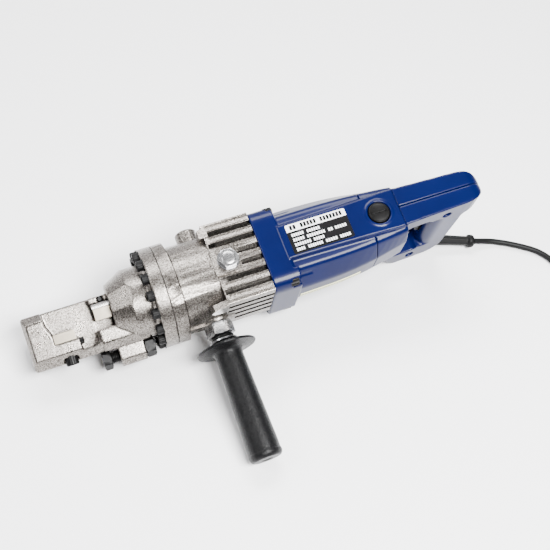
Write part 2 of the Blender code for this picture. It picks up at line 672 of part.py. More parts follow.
def pump_details():
    pump_housing()
    pump_block()
    camshaft()
    foot_z = CAM_Z + ECCENTRICITY + 9.5 + GAP
    turned("plunger", [(16.0, 0.0), (16.0, 4.0), (foot_z + 2.2, 4.0), (foot_z + 2.2, 7.0),
                       (foot_z, 7.0), (foot_z, 0.0)], BRIGHT_STEEL, axis="Z",
           centre=(PLUNGER_X, 0.0), segments=16)
    tube("plunger_spring", helix("Z", foot_z + 3.4, 2.9, (PLUNGER_X, 0.0), 5.5, 3), 0.7,
         BRIGHT_STEEL, resolution=1)
    bladder = arc((0, 0), 32.2, 25.0, 155.0, 16) + arc((0, 0), 25.5, 155.0, 25.0, 16)
    plate("oil_bladder", bladder, (60.0, 83.5), "X", BLACK_RUBBER)
    ring("oil_plug_washer", (PAD_TOP_Z + 0.2, PAD_TOP_Z + 1.2), 6.5, 9.3, COPPER, axis="Z",
         centre=(PLUG_X, 0.0), segments=24)
    plug = hexagon("oil_plug", "Z", PAD_TOP_Z + 1.4, 49.5, (PLUG_X, 0.0), 17.0, ZINC)
    stem = cylinder("plug_stem", "Z", 33.5, 45.0, (PLUG_X, 0.0), 6.0, segments=16)
    join(plug, stem)
    plate_part = cylinder("gear_plate", "X", 99.3, 104.3, (0, 0), CAVITY_R - 0.45, ZINC,
                          segments=SEGMENTS["large"])
    cut(plate_part,
        cylinder("shaft_pass", "X", 98.0, 106.0, (0, 0), 5.5),
        cylinder("rear_pocket", "X", 98.0, 106.0, (0.0, CAM_Z), 8.8))


pump_details()


# Motor --------------------------------------------------------------------------------------------

MOTOR_BORE_R = 34.4
TONGUE_X = 250.0
TONGUE_Z = 36.0
BODY_SECTIONS = [              # x, half width, half width of the flat top
    (134.0, 40.9, 17.0), (160.0, 40.6, 17.5), (183.0, 39.7, 18.0), (208.0, 37.2, 18.7),
    (218.0, 35.6, 19.0), (229.0, 33.5, 19.4), (244.0, 30.5, 20.0), (252.5, 28.5, 19.8),
]


def body_ring(x, half, top_half, bottom=-41.0):
    """One cross-section of the body: flat top, broad shoulders, rounded belly."""
    profile = [(top_half, SPINE_Z), (top_half + (half - top_half) * 0.55, 31.5), (half, 17.0),
               (half, -8.0), (half * 0.86, -24.0), (half * 0.6, -36.0), (half * 0.3, bottom)]
    mirrored = [(-y, z) for y, z in reversed(profile)]
    return [(x, y, z) for y, z in profile + mirrored]


def corner_points():
    return [(sy * SCREW_Y, sz * SCREW_Z) for sy in (-1, 1) for sz in (-1, 1)]


def motor_housing():
    housing = plate("motor_housing", rounded_square(MOTOR_FLANGE_HALF, 15.0), MOTOR_FLANGE, "X",
                    BLUE)
    sections = [section for section in BODY_SECTIONS if section[0] <= MOTOR_REAR_X]
    body = loft("motor_body", [body_ring(*section) for section in sections])
    tongues = box_cutters("tongues", [
        ((MOTOR_REAR_X - 1.0, TONGUE_X), (-16.5, 16.5), (TONGUE_Z, SPINE_Z - 0.1)),
        ((MOTOR_REAR_X - 1.0, TONGUE_X - 8.0), (-11.0, 11.0), (-40.9, -TONGUE_Z + 1.0)),
    ])
    join(housing, body, *tongues)
    bore = cylinder("motor_bore", "X", 118.0, MOTOR_REAR_X + 1.0, (0, 0), MOTOR_BORE_R,
                    segments=SEGMENTS["large"])
    pocket = cylinder("bearing_pocket", "X", 103.0, 114.3, (0, 0), 11.0)
    pass_hole = cylinder("motor_pass", "X", 113.0, 119.0, (0, 0), 6.0, segments=16)
    top_cap = cylinder("top_cap_hole", "Z", 30.0, 50.0, (BRUSH_X, 0.0), 10.9)
    low_cap = cylinder("low_cap_hole", "Z", -50.0, -30.0, (BRUSH_X, 0.0), 10.8)
    cut(housing, bore, pocket, pass_hole, top_cap, low_cap)
    for i, (y, z) in enumerate(corner_points()):
        cut(housing, cylinder(f"screw_hole_{i}", "X", 104.0, 126.5, (y, z), 2.9, segments=12),
            cylinder(f"screw_room_{i}", "X", 126.0, 145.0, (y, z), 5.2, segments=12))
    return housing


def armature():
    shaft = turned("armature_shaft", [
        (247.0, 0.0), (247.0, 4.0), (98.0, 4.0), (98.0, 3.6), (84.5, 3.6), (84.5, 0.0)],
        BRIGHT_STEEL, segments=16)
    pinion = plate("pinion_solid", gear_outline(PINION_TEETH, (0.0, 0.0), -90.0), GEAR_X, "X")
    join(shaft, pinion)
    ring("armature_core", (152.0, 205.0), 4.3, 18.0, LAMINATION)
    ring("commutator", (221.0, 238.0), 4.3, 12.0, COPPER)
    blades = []
    for i in range(12):
        start = 30.0 * i
        blades += arc((0, 0), 12.0, start, start + 12.0, 1)
        blades += [arc((0, 0), 32.5, start + 16.0, start + 19.0, 1)[0],
                   arc((0, 0), 32.5, start + 16.0, start + 19.0, 1)[1]]
    fan = plate("fan", blades, (138.0, 146.0), "X", BLACK_PLASTIC)
    cut(fan, cylinder("fan_bore", "X", 137.0, 147.0, (0, 0), 4.3, segments=16))
    return shaft


def brush_set(name, sign):
    """One carbon brush and the screw cap that holds it, above or below the commutator."""
    inner, outer = sorted((sign * 12.5, sign * 24.0))
    box(f"brush_{name}", (BRUSH_X - 3.2, BRUSH_X + 3.2), (-4.8, 4.8), (inner, outer), CARBON)
    top = 43.6 if sign > 0 else -41.4
    shelf = sign * 37.0
    profile = [(top, 0.0), (top, 10.3), (shelf, 10.3), (shelf, 4.5), (sign * 24.4, 4.5),
               (sign * 24.4, 0.0)]
    if sign < 0:
        profile.reverse()
    turned(f"brush_cap_{name}", profile, BLACK_PLASTIC, axis="Z", centre=(BRUSH_X, 0.0),
           segments=24)


def motor_details():
    motor_housing()
    armature()
    ring("front_bearing", (106.2, 114.0), 4.3, 10.6, BRIGHT_STEEL)
    ring("rear_bearing", (240.0, 246.0), 4.3, 9.5, BRIGHT_STEEL)
    ring("stator", (152.0, 205.0), 18.6, MOTOR_BORE_R - 0.4, LAMINATION,
         segments=SEGMENTS["large"])
    brush_set("upper", 1)
    brush_set("lower", -1)
    for i, (y, z) in enumerate(corner_points()):
        turned(f"motor_screw_{i + 1}", [
            (131.5, 0.0), (131.5, 4.5), (126.8, 4.5), (126.8, 2.5), (105.2, 2.5), (105.2, 0.0)],
            ZINC, centre=(y, z), segments=12)
    label = box("label_plate", (137.5, 199.0), (-15.3, 15.3), (SPINE_Z + 0.1, SPINE_Z + 0.6),
                LABEL)
    return label


motor_details()


# Rear handle --------------------------------------------------------------------------------------

HANDLE_FRONT_X = MOTOR_REAR_X + GAP
GRIP_FRONT_X = 285.0
SPLIT = 0.1                   # each shell stops this far from the parting plane
TRIGGER_PIVOT = (291.0, 17.0)


def loop_outline():
    """The D-shaped loop from the side, in (x, z)."""
    rear = arc((326.0, 28.0), 15.0, 90.0, -40.0, 5)
    heel = arc((296.0, -52.0), 20.0, -8.0, -90.0, 4)
    toe = arc((266.0, -62.0), 10.0, -90.0, -140.0, 2)
    return ([(236.0, SPINE_Z)] + [(240.0, SPINE_Z)] + rear + [(331.0, 14.0), (318.0, 13.0)]
            + heel + toe + [(240.0, -41.0), (236.0, -41.0)])


def loop_opening():
    corner = 8.0
    low, high, front, rear = -47.0, 25.0, 254.0, GRIP_FRONT_X
    return (arc((rear - corner, high - corner), corner, 0, 90, 2)
            + arc((front + corner, high - corner), corner, 90, 180, 2)
            + arc((front + corner, low + corner), corner, 180, 270, 2)
            + arc((rear - corner, low + corner), corner, 270, 360, 2))


def loop_plan():
    """The loop from above, in (x, y)."""
    side = [(230.0, 19.5), (252.0, 19.5), (285.0, 18.5), (318.0, 17.3), (330.0, 14.5),
            (337.0, 9.0), (341.0, 3.0)]
    return side + [(x, -y) for x, y in reversed(side)]


GUARD_START, GUARD_END = (306.0, -7.0, -66.0), (356.0, -23.0, -72.0)


def shell_cutters():
    """Everything taken out of both handle shells."""
    room = cylinder("handle_room", "X", 215.0, 239.6, (0, 0), 28.0)
    pocket = cylinder("rear_bearing_pocket", "X", 239.0, 247.6, (0, 0), 9.8)
    spaces = box_cutters("handle_spaces", [
        ((MOTOR_REAR_X - 1.0, TONGUE_X + GAP), (-16.5 - GAP, 16.5 + GAP),
         (TONGUE_Z - GAP, SPINE_Z + 5.0)),
        ((MOTOR_REAR_X - 1.0, TONGUE_X - 8.0 + GAP), (-11.0 - GAP, 11.0 + GAP),
         (-46.0, -TONGUE_Z + 1.0 + GAP)),
        ((256.0, 326.0), (-13.5, 13.5), (29.0, 39.0)),
        ((290.5, 313.5), (-13.0, 13.0), (-42.0, 30.0)),
        ((GRIP_FRONT_X - 3.0, 292.0), (-7.5, 7.5), (-27.0, 21.0)),
        ((268.0, 308.0), (-13.0, 13.0), (-66.0, -52.0)),
        ((286.0, 308.0), (-13.0, 13.0), (-53.0, -41.0)),
    ])
    low_cap = cylinder("low_cap_room", "Z", -50.0, -24.0, (BRUSH_X, 0.0), 11.0)
    top_cap = cylinder("top_cap_room", "Z", 24.0, 50.0, (BRUSH_X, 0.0), 11.0)
    start, end = Vector(GUARD_START), Vector(GUARD_END)
    guard = tube("guard_hole", [start.lerp(end, -0.15), start.lerp(end, 0.6)], 6.4)
    screws = cylinder("screw_holes", "Y", -40.0, 11.0, (299.0, 27.0), 2.3, segments=12)
    screws_low = cylinder("screw_holes_low", "Y", -40.0, 11.0, (279.0, -60.0), 2.3, segments=12)
    return [room, pocket, *spaces, low_cap, top_cap, guard, screws, screws_low]


def handle_shells():
    sections = [(HANDLE_FRONT_X, 35.55, 19.0)] + [s for s in BODY_SECTIONS if s[0] > MOTOR_REAR_X]
    loop = plate("loop_solid", loop_outline(), (-25.0, 25.0), "Y")
    plan = plate("loop_plan", loop_plan(), (-90.0, 60.0), "Z")
    opening = plate("loop_opening", loop_opening(), (-30.0, 30.0), "Y")
    keep(loop, plan)
    cutters = shell_cutters()
    halves = {"handle_left": (SPLIT, 60.0), "handle_right": (-60.0, -SPLIT)}
    for name, ys in halves.items():
        shell = loft(name, [body_ring(*section) for section in sections], BLUE)
        join(shell, loop)
        half = box(f"{name}_half", (200.0, 360.0), ys, (-100.0, 80.0))
        cut(shell, opening, *cutters)
        keep(shell, half)


def handle_details():
    handle_shells()
    px, pz = TRIGGER_PIVOT
    plate("trigger", [(px + 3.0, pz + 3.0), (px - 4.0, pz + 3.0), (280.5, 8.0), (277.5, -6.0),
                      (280.5, -22.0), (284.0, -24.5), (288.0, -23.0), (px + 1.0, 0.0)],
          (-6.6, 6.6), "Y", BLACK_PLASTIC)
    box("switch", (296.5, 312.8), (-11.0, 11.0), (-38.0, 20.0), BLACK_PLASTIC)
    for name, x, z in (("handle_screw_upper", 299.0, 27.0), ("handle_screw_lower", 279.0, -60.0)):
        turned(name, [(9.0, 0.0), (9.0, 1.9), (-12.0, 1.9), (-12.0, 1.2), (-12.6, 1.2),
                      (-12.6, 0.0)], ZINC, axis="Y", centre=(x, z), segments=12)


handle_details()


# Side handle --------------------------------------------------------------------------------------

def side_handle():
    axis = (HANDLE_X, 0.0)
    cylinder("side_stud", "Y", -88.0, -36.0, axis, STUD_R, ZINC, segments=16)
    nut = hexagon("side_nut", "Y", -56.5, BOSS_Y - GAP, axis, 24.0, ZINC)
    collar = ring("side_collar", (-60.5, -56.8), STUD_R + 0.4, 11.0, BLACK_PLASTIC, axis="Y",
                  centre=axis, segments=24)
    washer = ring("side_washer", (-62.5, -60.8), STUD_R + 0.4, 13.5, ZINC, axis="Y", centre=axis,
                  segments=24)
    cut(nut, cylinder("side_nut_bore", "Y", -60.0, -40.0, axis, STUD_R + 0.4, segments=16))
    grip = turned("side_grip", [
        (-62.8, 0.0), (-62.8, 13.0), (-67.0, 14.5), (-67.6, 28.0), (-69.0, 28.8), (-71.0, 28.0),
        (-73.0, 14.2), (-77.0, 13.4), (-110.0, 14.0), (-140.0, 14.9), (-166.0, 15.6),
        (-171.5, 15.4), (-173.2, 16.0), (-175.0, 16.0), (-178.5, 14.5), (-179.5, 10.0), (-179.5, 0.0)], BLACK_RUBBER, axis="Y",
        centre=axis, segments=SEGMENTS["medium"])
    cut(grip, cylinder("grip_bore", "Y", -88.5, -60.0, axis, STUD_R + 0.4, segments=16))
    return collar, washer


side_handle()


# Cord ---------------------------------------------------------------------------------------------
# The route, the coil and the plug are placed on the bench, not in the tool frame.

LEAD_ROUTE = [
    (241.9, 54.05, 7.8), (251.0, 52.65, 6.0), (261.0, 50.9, 4.2), (270.2, 47.6, CORD_Z),
    (279.0, 43.0, CORD_Z), (288.6, 37.3, CORD_Z), (298.0, 31.0, CORD_Z), (306.1, 24.5, CORD_Z),
    (312.6, 16.5, CORD_Z), (317.3, 7.2, CORD_Z), (319.9, -2.8, CORD_Z), (320.2, -15.25, CORD_Z),
]
TAIL_ROUTE = [(365.5, -109.45, 9.4), (370.5, -110.85, 9.2), (375.0, -111.85, 9.2)]
PLUG_AT, PLUG_TURN = (375.3, -111.95, 9.2), -17.0


def smooth_route(points, per_span=2):
    """Points on a smooth curve through the route's own points."""
    places = [Vector(point) for point in points]
    ends = [2 * places[0] - places[1]] + places + [2 * places[-1] - places[-2]]
    route = []
    for before, start, stop, after in zip(ends, ends[1:], ends[2:], ends[3:]):
        for i in range(per_span):
            t = i / per_span
            route.append(0.5 * (2 * start + (stop - before) * t
                                + (2 * before - 5 * start + 4 * stop - after) * t * t
                                + (3 * start - before - 3 * stop + after) * t ** 3))
    return route + [places[-1]]


def plug_mesh():
    """A moulded plug with a tapered strain relief and two round pins, along its own X."""
    place = empty("plug_place")
    place.location = Vector(PLUG_AT) * MM
    place.rotation_euler = (0.0, 0.0, math.radians(PLUG_TURN))
    plug = loft("plug", [[(x, y, z) for y, z in rounded_rectangle(half_y, half_z, 3.0)]
                         for x, half_y, half_z in ((0.3, 5.0, 4.5), (16.0, 6.5, 6.0),
                                                   (24.0, 13.0, 8.8), (46.0, 17.0, 8.8))],
                BLACK_PLASTIC, place)
    for i, side in enumerate((-9.5, 9.5)):
        pin = cylinder(f"plug_pin_{i}", "X", 44.0, 65.0, (side, 0.0), 2.4, parent=place,
                       segments=12)
        join(plug, pin)


def rounded_rectangle(half_y, half_z, radius):
    points = []
    for start, sy, sz in ((0, 1, 1), (90, -1, 1), (180, -1, -1), (270, 1, -1)):
        centre = (sy * (half_y - radius), sz * (half_z - radius))
        points += arc(centre, radius, start, start + 90, 2)
    return points


def cord_parts():
    """The cord guard on the tool, then the cord, its coil and its plug on the bench."""
    start, end = Vector(GUARD_START), Vector(GUARD_END)
    guard = tube("cord_guard", [start, end], 5.8, BLACK_RUBBER)
    collar = tube("guard_collar", [start.lerp(end, 0.92), end], 7.0)
    join(guard, collar)
    tube("cord", smooth_route(LEAD_ROUTE), CORD_R, BLACK_RUBBER, None)
    tube("cord_tail", smooth_route(TAIL_ROUTE), CORD_R, BLACK_RUBBER, None)
    ring("cord_coil", (0.2, COIL_TOP_Z), *COIL_RADII, BLACK_RUBBER, None, "Z", COIL_CENTRE)
    plug_mesh()


cord_parts()
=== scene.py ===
"""The look of the rebar cutter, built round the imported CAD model.

Pieces are drawn in millimetres in the tool frame: +X to the rear along the ram axis, +Y away from
the side handle and +Z up through the motor's top cover, from the ram axis at the front face of the
head flange.  The tool frame comes from the record's joints.  The jaw has its own frame, turned
about X.
"""

import json
import math

import bmesh
import bpy
from mathutils import Matrix, Vector


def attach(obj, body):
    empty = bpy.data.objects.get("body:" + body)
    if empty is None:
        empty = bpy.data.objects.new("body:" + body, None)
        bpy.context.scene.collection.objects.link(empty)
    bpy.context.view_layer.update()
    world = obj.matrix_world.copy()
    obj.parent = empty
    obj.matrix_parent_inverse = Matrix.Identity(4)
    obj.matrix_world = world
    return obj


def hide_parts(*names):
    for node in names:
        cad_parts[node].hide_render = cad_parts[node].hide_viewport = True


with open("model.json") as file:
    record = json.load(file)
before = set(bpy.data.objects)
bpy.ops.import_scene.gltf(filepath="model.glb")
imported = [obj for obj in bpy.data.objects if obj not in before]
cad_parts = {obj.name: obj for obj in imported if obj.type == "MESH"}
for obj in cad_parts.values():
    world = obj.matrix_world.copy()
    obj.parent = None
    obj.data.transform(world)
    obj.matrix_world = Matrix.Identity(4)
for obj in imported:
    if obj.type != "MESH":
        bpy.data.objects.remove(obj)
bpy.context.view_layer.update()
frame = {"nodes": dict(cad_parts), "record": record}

MM = 0.001
HOUSING, RAM, STOPPER, TRIGGER = "housing", "ram", "stopper", "trigger"


# The tool frame, from the joints --------------------------------------

def tool_matrix():
    joints = {joint["name"]: joint for joint in frame["record"]["behaviour"]["joints"]}
    origin = Vector(joints["armature_spin"]["pos_m"])
    x = Vector(joints["armature_spin"]["axis"]).normalized()
    z = (origin - Vector(joints["camshaft_spin"]["pos_m"])).normalized()
    y = z.cross(x).normalized()
    matrix = Matrix((x, y, x.cross(y))).transposed().to_4x4()
    matrix.translation = origin
    return matrix


JAW_TURN_DEG = 18.0
TOOL = tool_matrix()
JAW = Matrix.Rotation(math.radians(JAW_TURN_DEG), 4, "X")
FLAT = Matrix.Identity(4)


# Camera ---------------------------------------------------------------

SENSOR_MM, LENS_MM = 36.0, 64.4
CAMERA_AT = (-79.0, -296.5, 890.0)
CAMERA_FORWARD = (0.2101, 0.2953, -0.9320)
CAMERA_UP = (0.2963, 0.8892, 0.3485)


def add_camera():
    data = bpy.data.cameras.new("camera")
    data.sensor_width = SENSOR_MM
    data.lens = LENS_MM
    data.clip_end = 20.0
    camera = bpy.data.objects.new("camera", data)
    bpy.context.scene.collection.objects.link(camera)
    forward = Vector(CAMERA_FORWARD).normalized()
    right = forward.cross(Vector(CAMERA_UP)).normalized()
    turn = Matrix((right, right.cross(forward), -forward)).transposed().to_4x4()
    turn.translation = Vector(CAMERA_AT) * MM
    camera.matrix_world = TOOL @ turn
    bpy.context.scene.camera = camera


# Modelling helpers ----------------------------------------------------

AXIS_TURNS = {
    "X": Matrix(((0, 0, 1, 0), (1, 0, 0, 0), (0, 1, 0, 0), (0, 0, 0, 1))),
    "Y": Matrix(((1, 0, 0, 0), (0, 0, -1, 0), (0, 1, 0, 0), (0, 0, 0, 1))),
    "Z": FLAT,
}
WEIGHTED_LIMIT = 40000        # a denser mesh needs no weighted normals
THINNEST_R = 0.02             # a lathe's ring at the axis keeps this radius
workshop = bpy.data.collections.new("pieces")
bpy.context.scene.collection.children.link(workshop)


def from_bmesh(bm, turn=FLAT):
    """A loose working object, in millimetres."""
    bmesh.ops.transform(bm, matrix=turn, verts=bm.verts)
    bmesh.ops.recalc_face_normals(bm, faces=bm.faces)
    mesh = bpy.data.meshes.new("work")
    bm.to_mesh(mesh)
    bm.free()
    made = bpy.data.objects.new("work", mesh)
    workshop.objects.link(made)
    return made


def add_ring(bm, points):
    return [bm.verts.new(point) for point in points]


def bridge(bm, first, second):
    count = len(first)
    for i in range(count):
        j = (i + 1) % count
        bm.faces.new((first[i], first[j], second[j], second[i]))


def loft(rings, turn=FLAT, closed=False):
    """A skin through rings of points; open ends are capped."""
    bm = bmesh.new()
    rows = [add_ring(bm, points) for points in rings]
    for first, second in zip(rows, rows[1:]):
        bridge(bm, first, second)
    if closed:
        bridge(bm, rows[-1], rows[0])
    else:
        bm.faces.new(rows[0])
        bm.faces.new(rows[-1])
    return from_bmesh(bm, turn)


def box(xs, ys, zs, turn=FLAT):
    outline = [(xs[0], ys[0]), (xs[1], ys[0]), (xs[1], ys[1]), (xs[0], ys[1])]
    return prism(outline, zs, "Z", turn)


def prism(outline, span, axis="Z", turn=FLAT):
    """An outline in the two other axes, in order, thickened over a span of this one."""
    place = AXIS_TURNS[axis]
    ends = [[place @ Vector((a, b, -h if axis == "Y" else h)) for a, b in outline] for h in span]
    return loft(ends, turn)


def circle(radius, count, centre=(0.0, 0.0)):
    angles = [2 * math.pi * i / count for i in range(count)]
    return [(centre[0] + radius * math.cos(a), centre[1] + radius * math.sin(a)) for a in angles]


def lathe(profile, axis="X", centre=(0.0, 0.0), count=64, turn=FLAT, closed=False):
    """A turned solid: (position along the axis, radius) from one end to the other."""
    place = AXIS_TURNS[axis]
    rings = []
    for along, radius in profile:
        h = -along if axis == "Y" else along
        across = circle(max(radius, THINNEST_R), count, centre)
        rings.append([place @ Vector((a, b, h)) for a, b in across])
    return loft(rings, turn, closed)


def rod(axis, start, end, centre, radius, count=32, turn=FLAT):
    return lathe([(start, radius), (end, radius)], axis, centre, count, turn)


def hexagon(axis, start, end, centre, across_flats, turn=FLAT, chamfer=0.8):
    """A hexagonal head whose corners are rounded off by a cone at both ends."""
    radius = across_flats / 2 / math.cos(math.radians(30))
    head = lathe([(start, radius), (end, radius)], axis, centre, 6, turn)
    low = across_flats / 2 - chamfer * 0.2
    crown = lathe([(start, low), (start + chamfer, radius + 0.1), (end - chamfer, radius + 0.1),
                   (end, low)], axis, centre, 48, turn)
    return keep(head, crown)


def arc(centre, radius, start, end, steps):
    angles = [math.radians(start + (end - start) * i / steps) for i in range(steps + 1)]
    return [(centre[0] + radius * math.cos(a), centre[1] + radius * math.sin(a)) for a in angles]


def rounded(points, radius, steps=4):
    """A closed outline with its corners rounded; radius is one number or one for each corner."""
    result = []
    count = len(points)
    for i, point in enumerate(points):
        r = radius[i] if isinstance(radius, (list, tuple)) else radius
        here = Vector(point)
        before = (Vector(points[i - 1]) - here).normalized()
        after = (Vector(points[(i + 1) % count]) - here).normalized()
        if r <= 0:
            result.append(tuple(here))
            continue
        half = before.angle(after) / 2
        reach = r / math.tan(half)
        for step in range(steps + 1):
            t = step / steps
            first, last = here + before * reach, here + after * reach
            bend = (1 - t) ** 2 * first + 2 * t * (1 - t) * here + t ** 2 * last
            result.append(tuple(bend))
    return result


def boolean(base, others, operation):
    """Applies the operation straight away and clears the tools it used."""
    for other in others:
        modifier = base.modifiers.new("boolean", "BOOLEAN")
        modifier.operation = operation
        modifier.solver = "EXACT"
        modifier.object = other
    apply_modifiers(base)
    for other in others:
        bpy.data.objects.remove(other, do_unlink=True)
    return base


def cut(base, *others):
    return boolean(base, others, "DIFFERENCE")


def join(base, *others):
    return boolean(base, others, "UNION")


def keep(base, other):
    return boolean(base, [other], "INTERSECT")


def apply_modifiers(obj):
    bpy.context.view_layer.update()
    graph = bpy.context.evaluated_depsgraph_get()
    mesh = bpy.data.meshes.new_from_object(obj.evaluated_get(graph))
    obj.modifiers.clear()
    old = obj.data
    obj.data = mesh
    bpy.data.meshes.remove(old)


def cast_skin(obj, voxel, rounds):
    """Rounds every edge and fillets every corner, as on a sand casting."""
    remesh = obj.modifiers.new("remesh", "REMESH")
    remesh.mode = "VOXEL"
    remesh.voxel_size = voxel
    soften = obj.modifiers.new("soften", "SMOOTH")
    soften.factor = 0.5
    soften.iterations = rounds
    apply_modifiers(obj)
    return obj


def bevel(obj, width, segments=2, angle=35.0):
    modifier = obj.modifiers.new("bevel", "BEVEL")
    modifier.width = width
    modifier.segments = segments
    modifier.limit_method = "ANGLE"
    modifier.angle_limit = math.radians(angle)
    modifier.use_clamp_overlap = True
    modifier.harden_normals = False
    apply_modifiers(obj)
    return obj


def piece(name, obj, look, nodes, smooth=32.0, body=HOUSING, place=TOOL):
    """Finishes a working object as a piece of the scene, riding on a CAD body."""
    mesh = obj.data
    mesh.transform(place @ Matrix.Scale(MM, 4))
    mesh.materials.clear()
    mesh.materials.append(LOOKS[look])
    mesh.shade_smooth()
    mesh.set_sharp_from_angle(angle=math.radians(smooth))
    if len(mesh.polygons) < WEIGHTED_LIMIT:
        weighted = obj.modifiers.new("weighted", "WEIGHTED_NORMAL")
        weighted.keep_sharp = True
        apply_modifiers(obj)
        mesh = obj.data
    obj.name = name
    mesh.name = name
    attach(obj, body)
    if nodes:
        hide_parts(*nodes)
    return obj


# Materials ------------------------------------------------------------

def new_look(name, colour, roughness, metallic=0.0, specular=0.5, coat=0.0):
    look = bpy.data.materials.new(name)
    look.use_nodes = True
    shader = look.node_tree.nodes["Principled BSDF"]
    shader.inputs["Base Color"].default_value = (*colour, 1.0)
    shader.inputs["Roughness"].default_value = roughness
    shader.inputs["Metallic"].default_value = metallic
    shader.inputs["Specular IOR Level"].default_value = specular
    shader.inputs["Coat Weight"].default_value = coat
    shader.inputs["Coat Roughness"].default_value = 0.06
    return look, look.node_tree, shader


def add_node(tree, kind, **values):
    node = tree.nodes.new(kind)
    for name, value in values.items():
        if name in node.inputs:
            node.inputs[name].default_value = value
        else:
            setattr(node, name, value)
    return node


def noise_node(tree, scale, detail=4.0, roughness=0.6, stretch=(1.0, 1.0, 1.0)):
    """Noise in object coordinates, optionally drawn out along an axis."""
    where = tree.nodes.new("ShaderNodeTexCoord")
    mapping = tree.nodes.new("ShaderNodeMapping")
    mapping.inputs["Scale"].default_value = stretch
    made = tree.nodes.new("ShaderNodeTexNoise")
    made.inputs["Scale"].default_value = scale
    made.inputs["Detail"].default_value = detail
    made.inputs["Roughness"].default_value = roughness
    tree.links.new(where.outputs["Object"], mapping.inputs["Vector"])
    tree.links.new(mapping.outputs["Vector"], made.inputs["Vector"])
    return made


def ramp_node(tree, source, stops):
    ramp = tree.nodes.new("ShaderNodeValToRGB")
    elements = ramp.color_ramp.elements
    while len(elements) < len(stops):
        elements.new(0.5)
    for element, (position, colour) in zip(elements, stops):
        element.position = position
        element.color = (*colour, 1.0)
    tree.links.new(source, ramp.inputs["Fac"])
    return ramp


def range_node(tree, source, low, high, out_low, out_high):
    made = add_node(tree, "ShaderNodeMapRange")
    made.inputs["From Min"].default_value = low
    made.inputs["From Max"].default_value = high
    made.inputs["To Min"].default_value = out_low
    made.inputs["To Max"].default_value = out_high
    tree.links.new(source, made.inputs["Value"])
    return made


def add_bump(tree, shader, height, strength, distance, previous=None):
    made = tree.nodes.new("ShaderNodeBump")
    made.inputs["Strength"].default_value = strength
    made.inputs["Distance"].default_value = distance
    tree.links.new(height, made.inputs["Height"])
    if previous:
        tree.links.new(previous.outputs["Normal"], made.inputs["Normal"])
    tree.links.new(made.outputs["Normal"], shader.inputs["Normal"])
    return made


def cast_metal(name, pits=1.0, shade=1.0):
    """Shot-blasted nickel-grey casting: fine sparkling grain with small dark pits."""
    look, tree, shader = new_look(name, (0.5, 0.47, 0.44), 0.4, 0.9)
    grain = noise_node(tree, 900.0, 3.0, 0.7)
    broad = noise_node(tree, 60.0, 3.0)
    spots = noise_node(tree, 620.0, 2.0, 0.5)
    # A shade below 1 darkens every tone. The grooves' painted shade uses this.
    tone = ramp_node(tree, grain.outputs["Fac"], [
        (place, tuple(c * shade for c in colour)) for place, colour in (
            (0.36, (0.035, 0.03, 0.027)), (0.48, (0.13, 0.118, 0.105)),
            (0.66, (0.34, 0.315, 0.29)))])
    pit = ramp_node(tree, spots.outputs["Fac"], [
        (0.30, (0.26, 0.235, 0.21)), (0.30 + 0.09 * pits, (1.0, 1.0, 1.0))])
    mix = add_node(tree, "ShaderNodeMix", data_type="RGBA", blend_type="MULTIPLY")
    mix.inputs[0].default_value = 0.85
    tree.links.new(tone.outputs["Color"], mix.inputs[6])
    tree.links.new(pit.outputs["Color"], mix.inputs[7])
    tree.links.new(mix.outputs[2], shader.inputs["Base Color"])
    rough = range_node(tree, broad.outputs["Fac"], 0.3, 0.7, 0.24, 0.36)
    tree.links.new(rough.outputs["Result"], shader.inputs["Roughness"])
    first = add_bump(tree, shader, grain.outputs["Fac"], 0.22, 0.0005)
    add_bump(tree, shader, spots.outputs["Fac"], 0.16 * pits, 0.0008, first)
    return look


def machined(name, colour, roughness=0.25, direction=(1.0, 30.0, 1.0)):
    """Ground or turned metal: fine lines along one direction."""
    look, tree, shader = new_look(name, colour, roughness, 1.0)
    lines = noise_node(tree, 260.0, 3.0, 0.6, direction)
    broad = noise_node(tree, 90.0, 2.0)
    tone = ramp_node(tree, broad.outputs["Fac"], [
        (0.3, tuple(c * 0.86 for c in colour)), (0.7, tuple(min(1.0, c * 1.08) for c in colour))])
    tree.links.new(tone.outputs["Color"], shader.inputs["Base Color"])
    rough = range_node(tree, lines.outputs["Fac"], 0.3, 0.7, roughness * 0.8, roughness * 1.35)
    tree.links.new(rough.outputs["Result"], shader.inputs["Roughness"])
    add_bump(tree, shader, lines.outputs["Fac"], 0.12, 0.0002)
    return look


def black_steel(name):
    look, tree, shader = new_look(name, (0.003, 0.003, 0.0033), 0.36, 0.0, 0.12)
    worn = noise_node(tree, 420.0, 3.0)
    tone = ramp_node(tree, worn.outputs["Fac"], [
        (0.40, (0.001, 0.001, 0.0012)), (0.72, (0.006, 0.0058, 0.0055))])
    tree.links.new(tone.outputs["Color"], shader.inputs["Base Color"])
    rough = range_node(tree, worn.outputs["Fac"], 0.3, 0.7, 0.28, 0.44)
    tree.links.new(rough.outputs["Result"], shader.inputs["Roughness"])
    add_bump(tree, shader, worn.outputs["Fac"], 0.15, 0.0002)
    return look


def gloss_blue(name):
    """Deep blue gloss with a slight orange-peel surface."""
    look, tree, shader = new_look(name, (0.0001, 0.0026, 0.036), 0.3, 0.0, 0.1, 0.14)
    shade = noise_node(tree, 18.0, 2.0)
    tone = ramp_node(tree, shade.outputs["Fac"], [
        (0.35, (0.0, 0.0022, 0.032)), (0.65, (0.0001, 0.003, 0.04))])
    tree.links.new(tone.outputs["Color"], shader.inputs["Base Color"])
    peel = noise_node(tree, 330.0, 2.0)
    add_bump(tree, shader, peel.outputs["Fac"], 0.05, 0.0003)
    return look


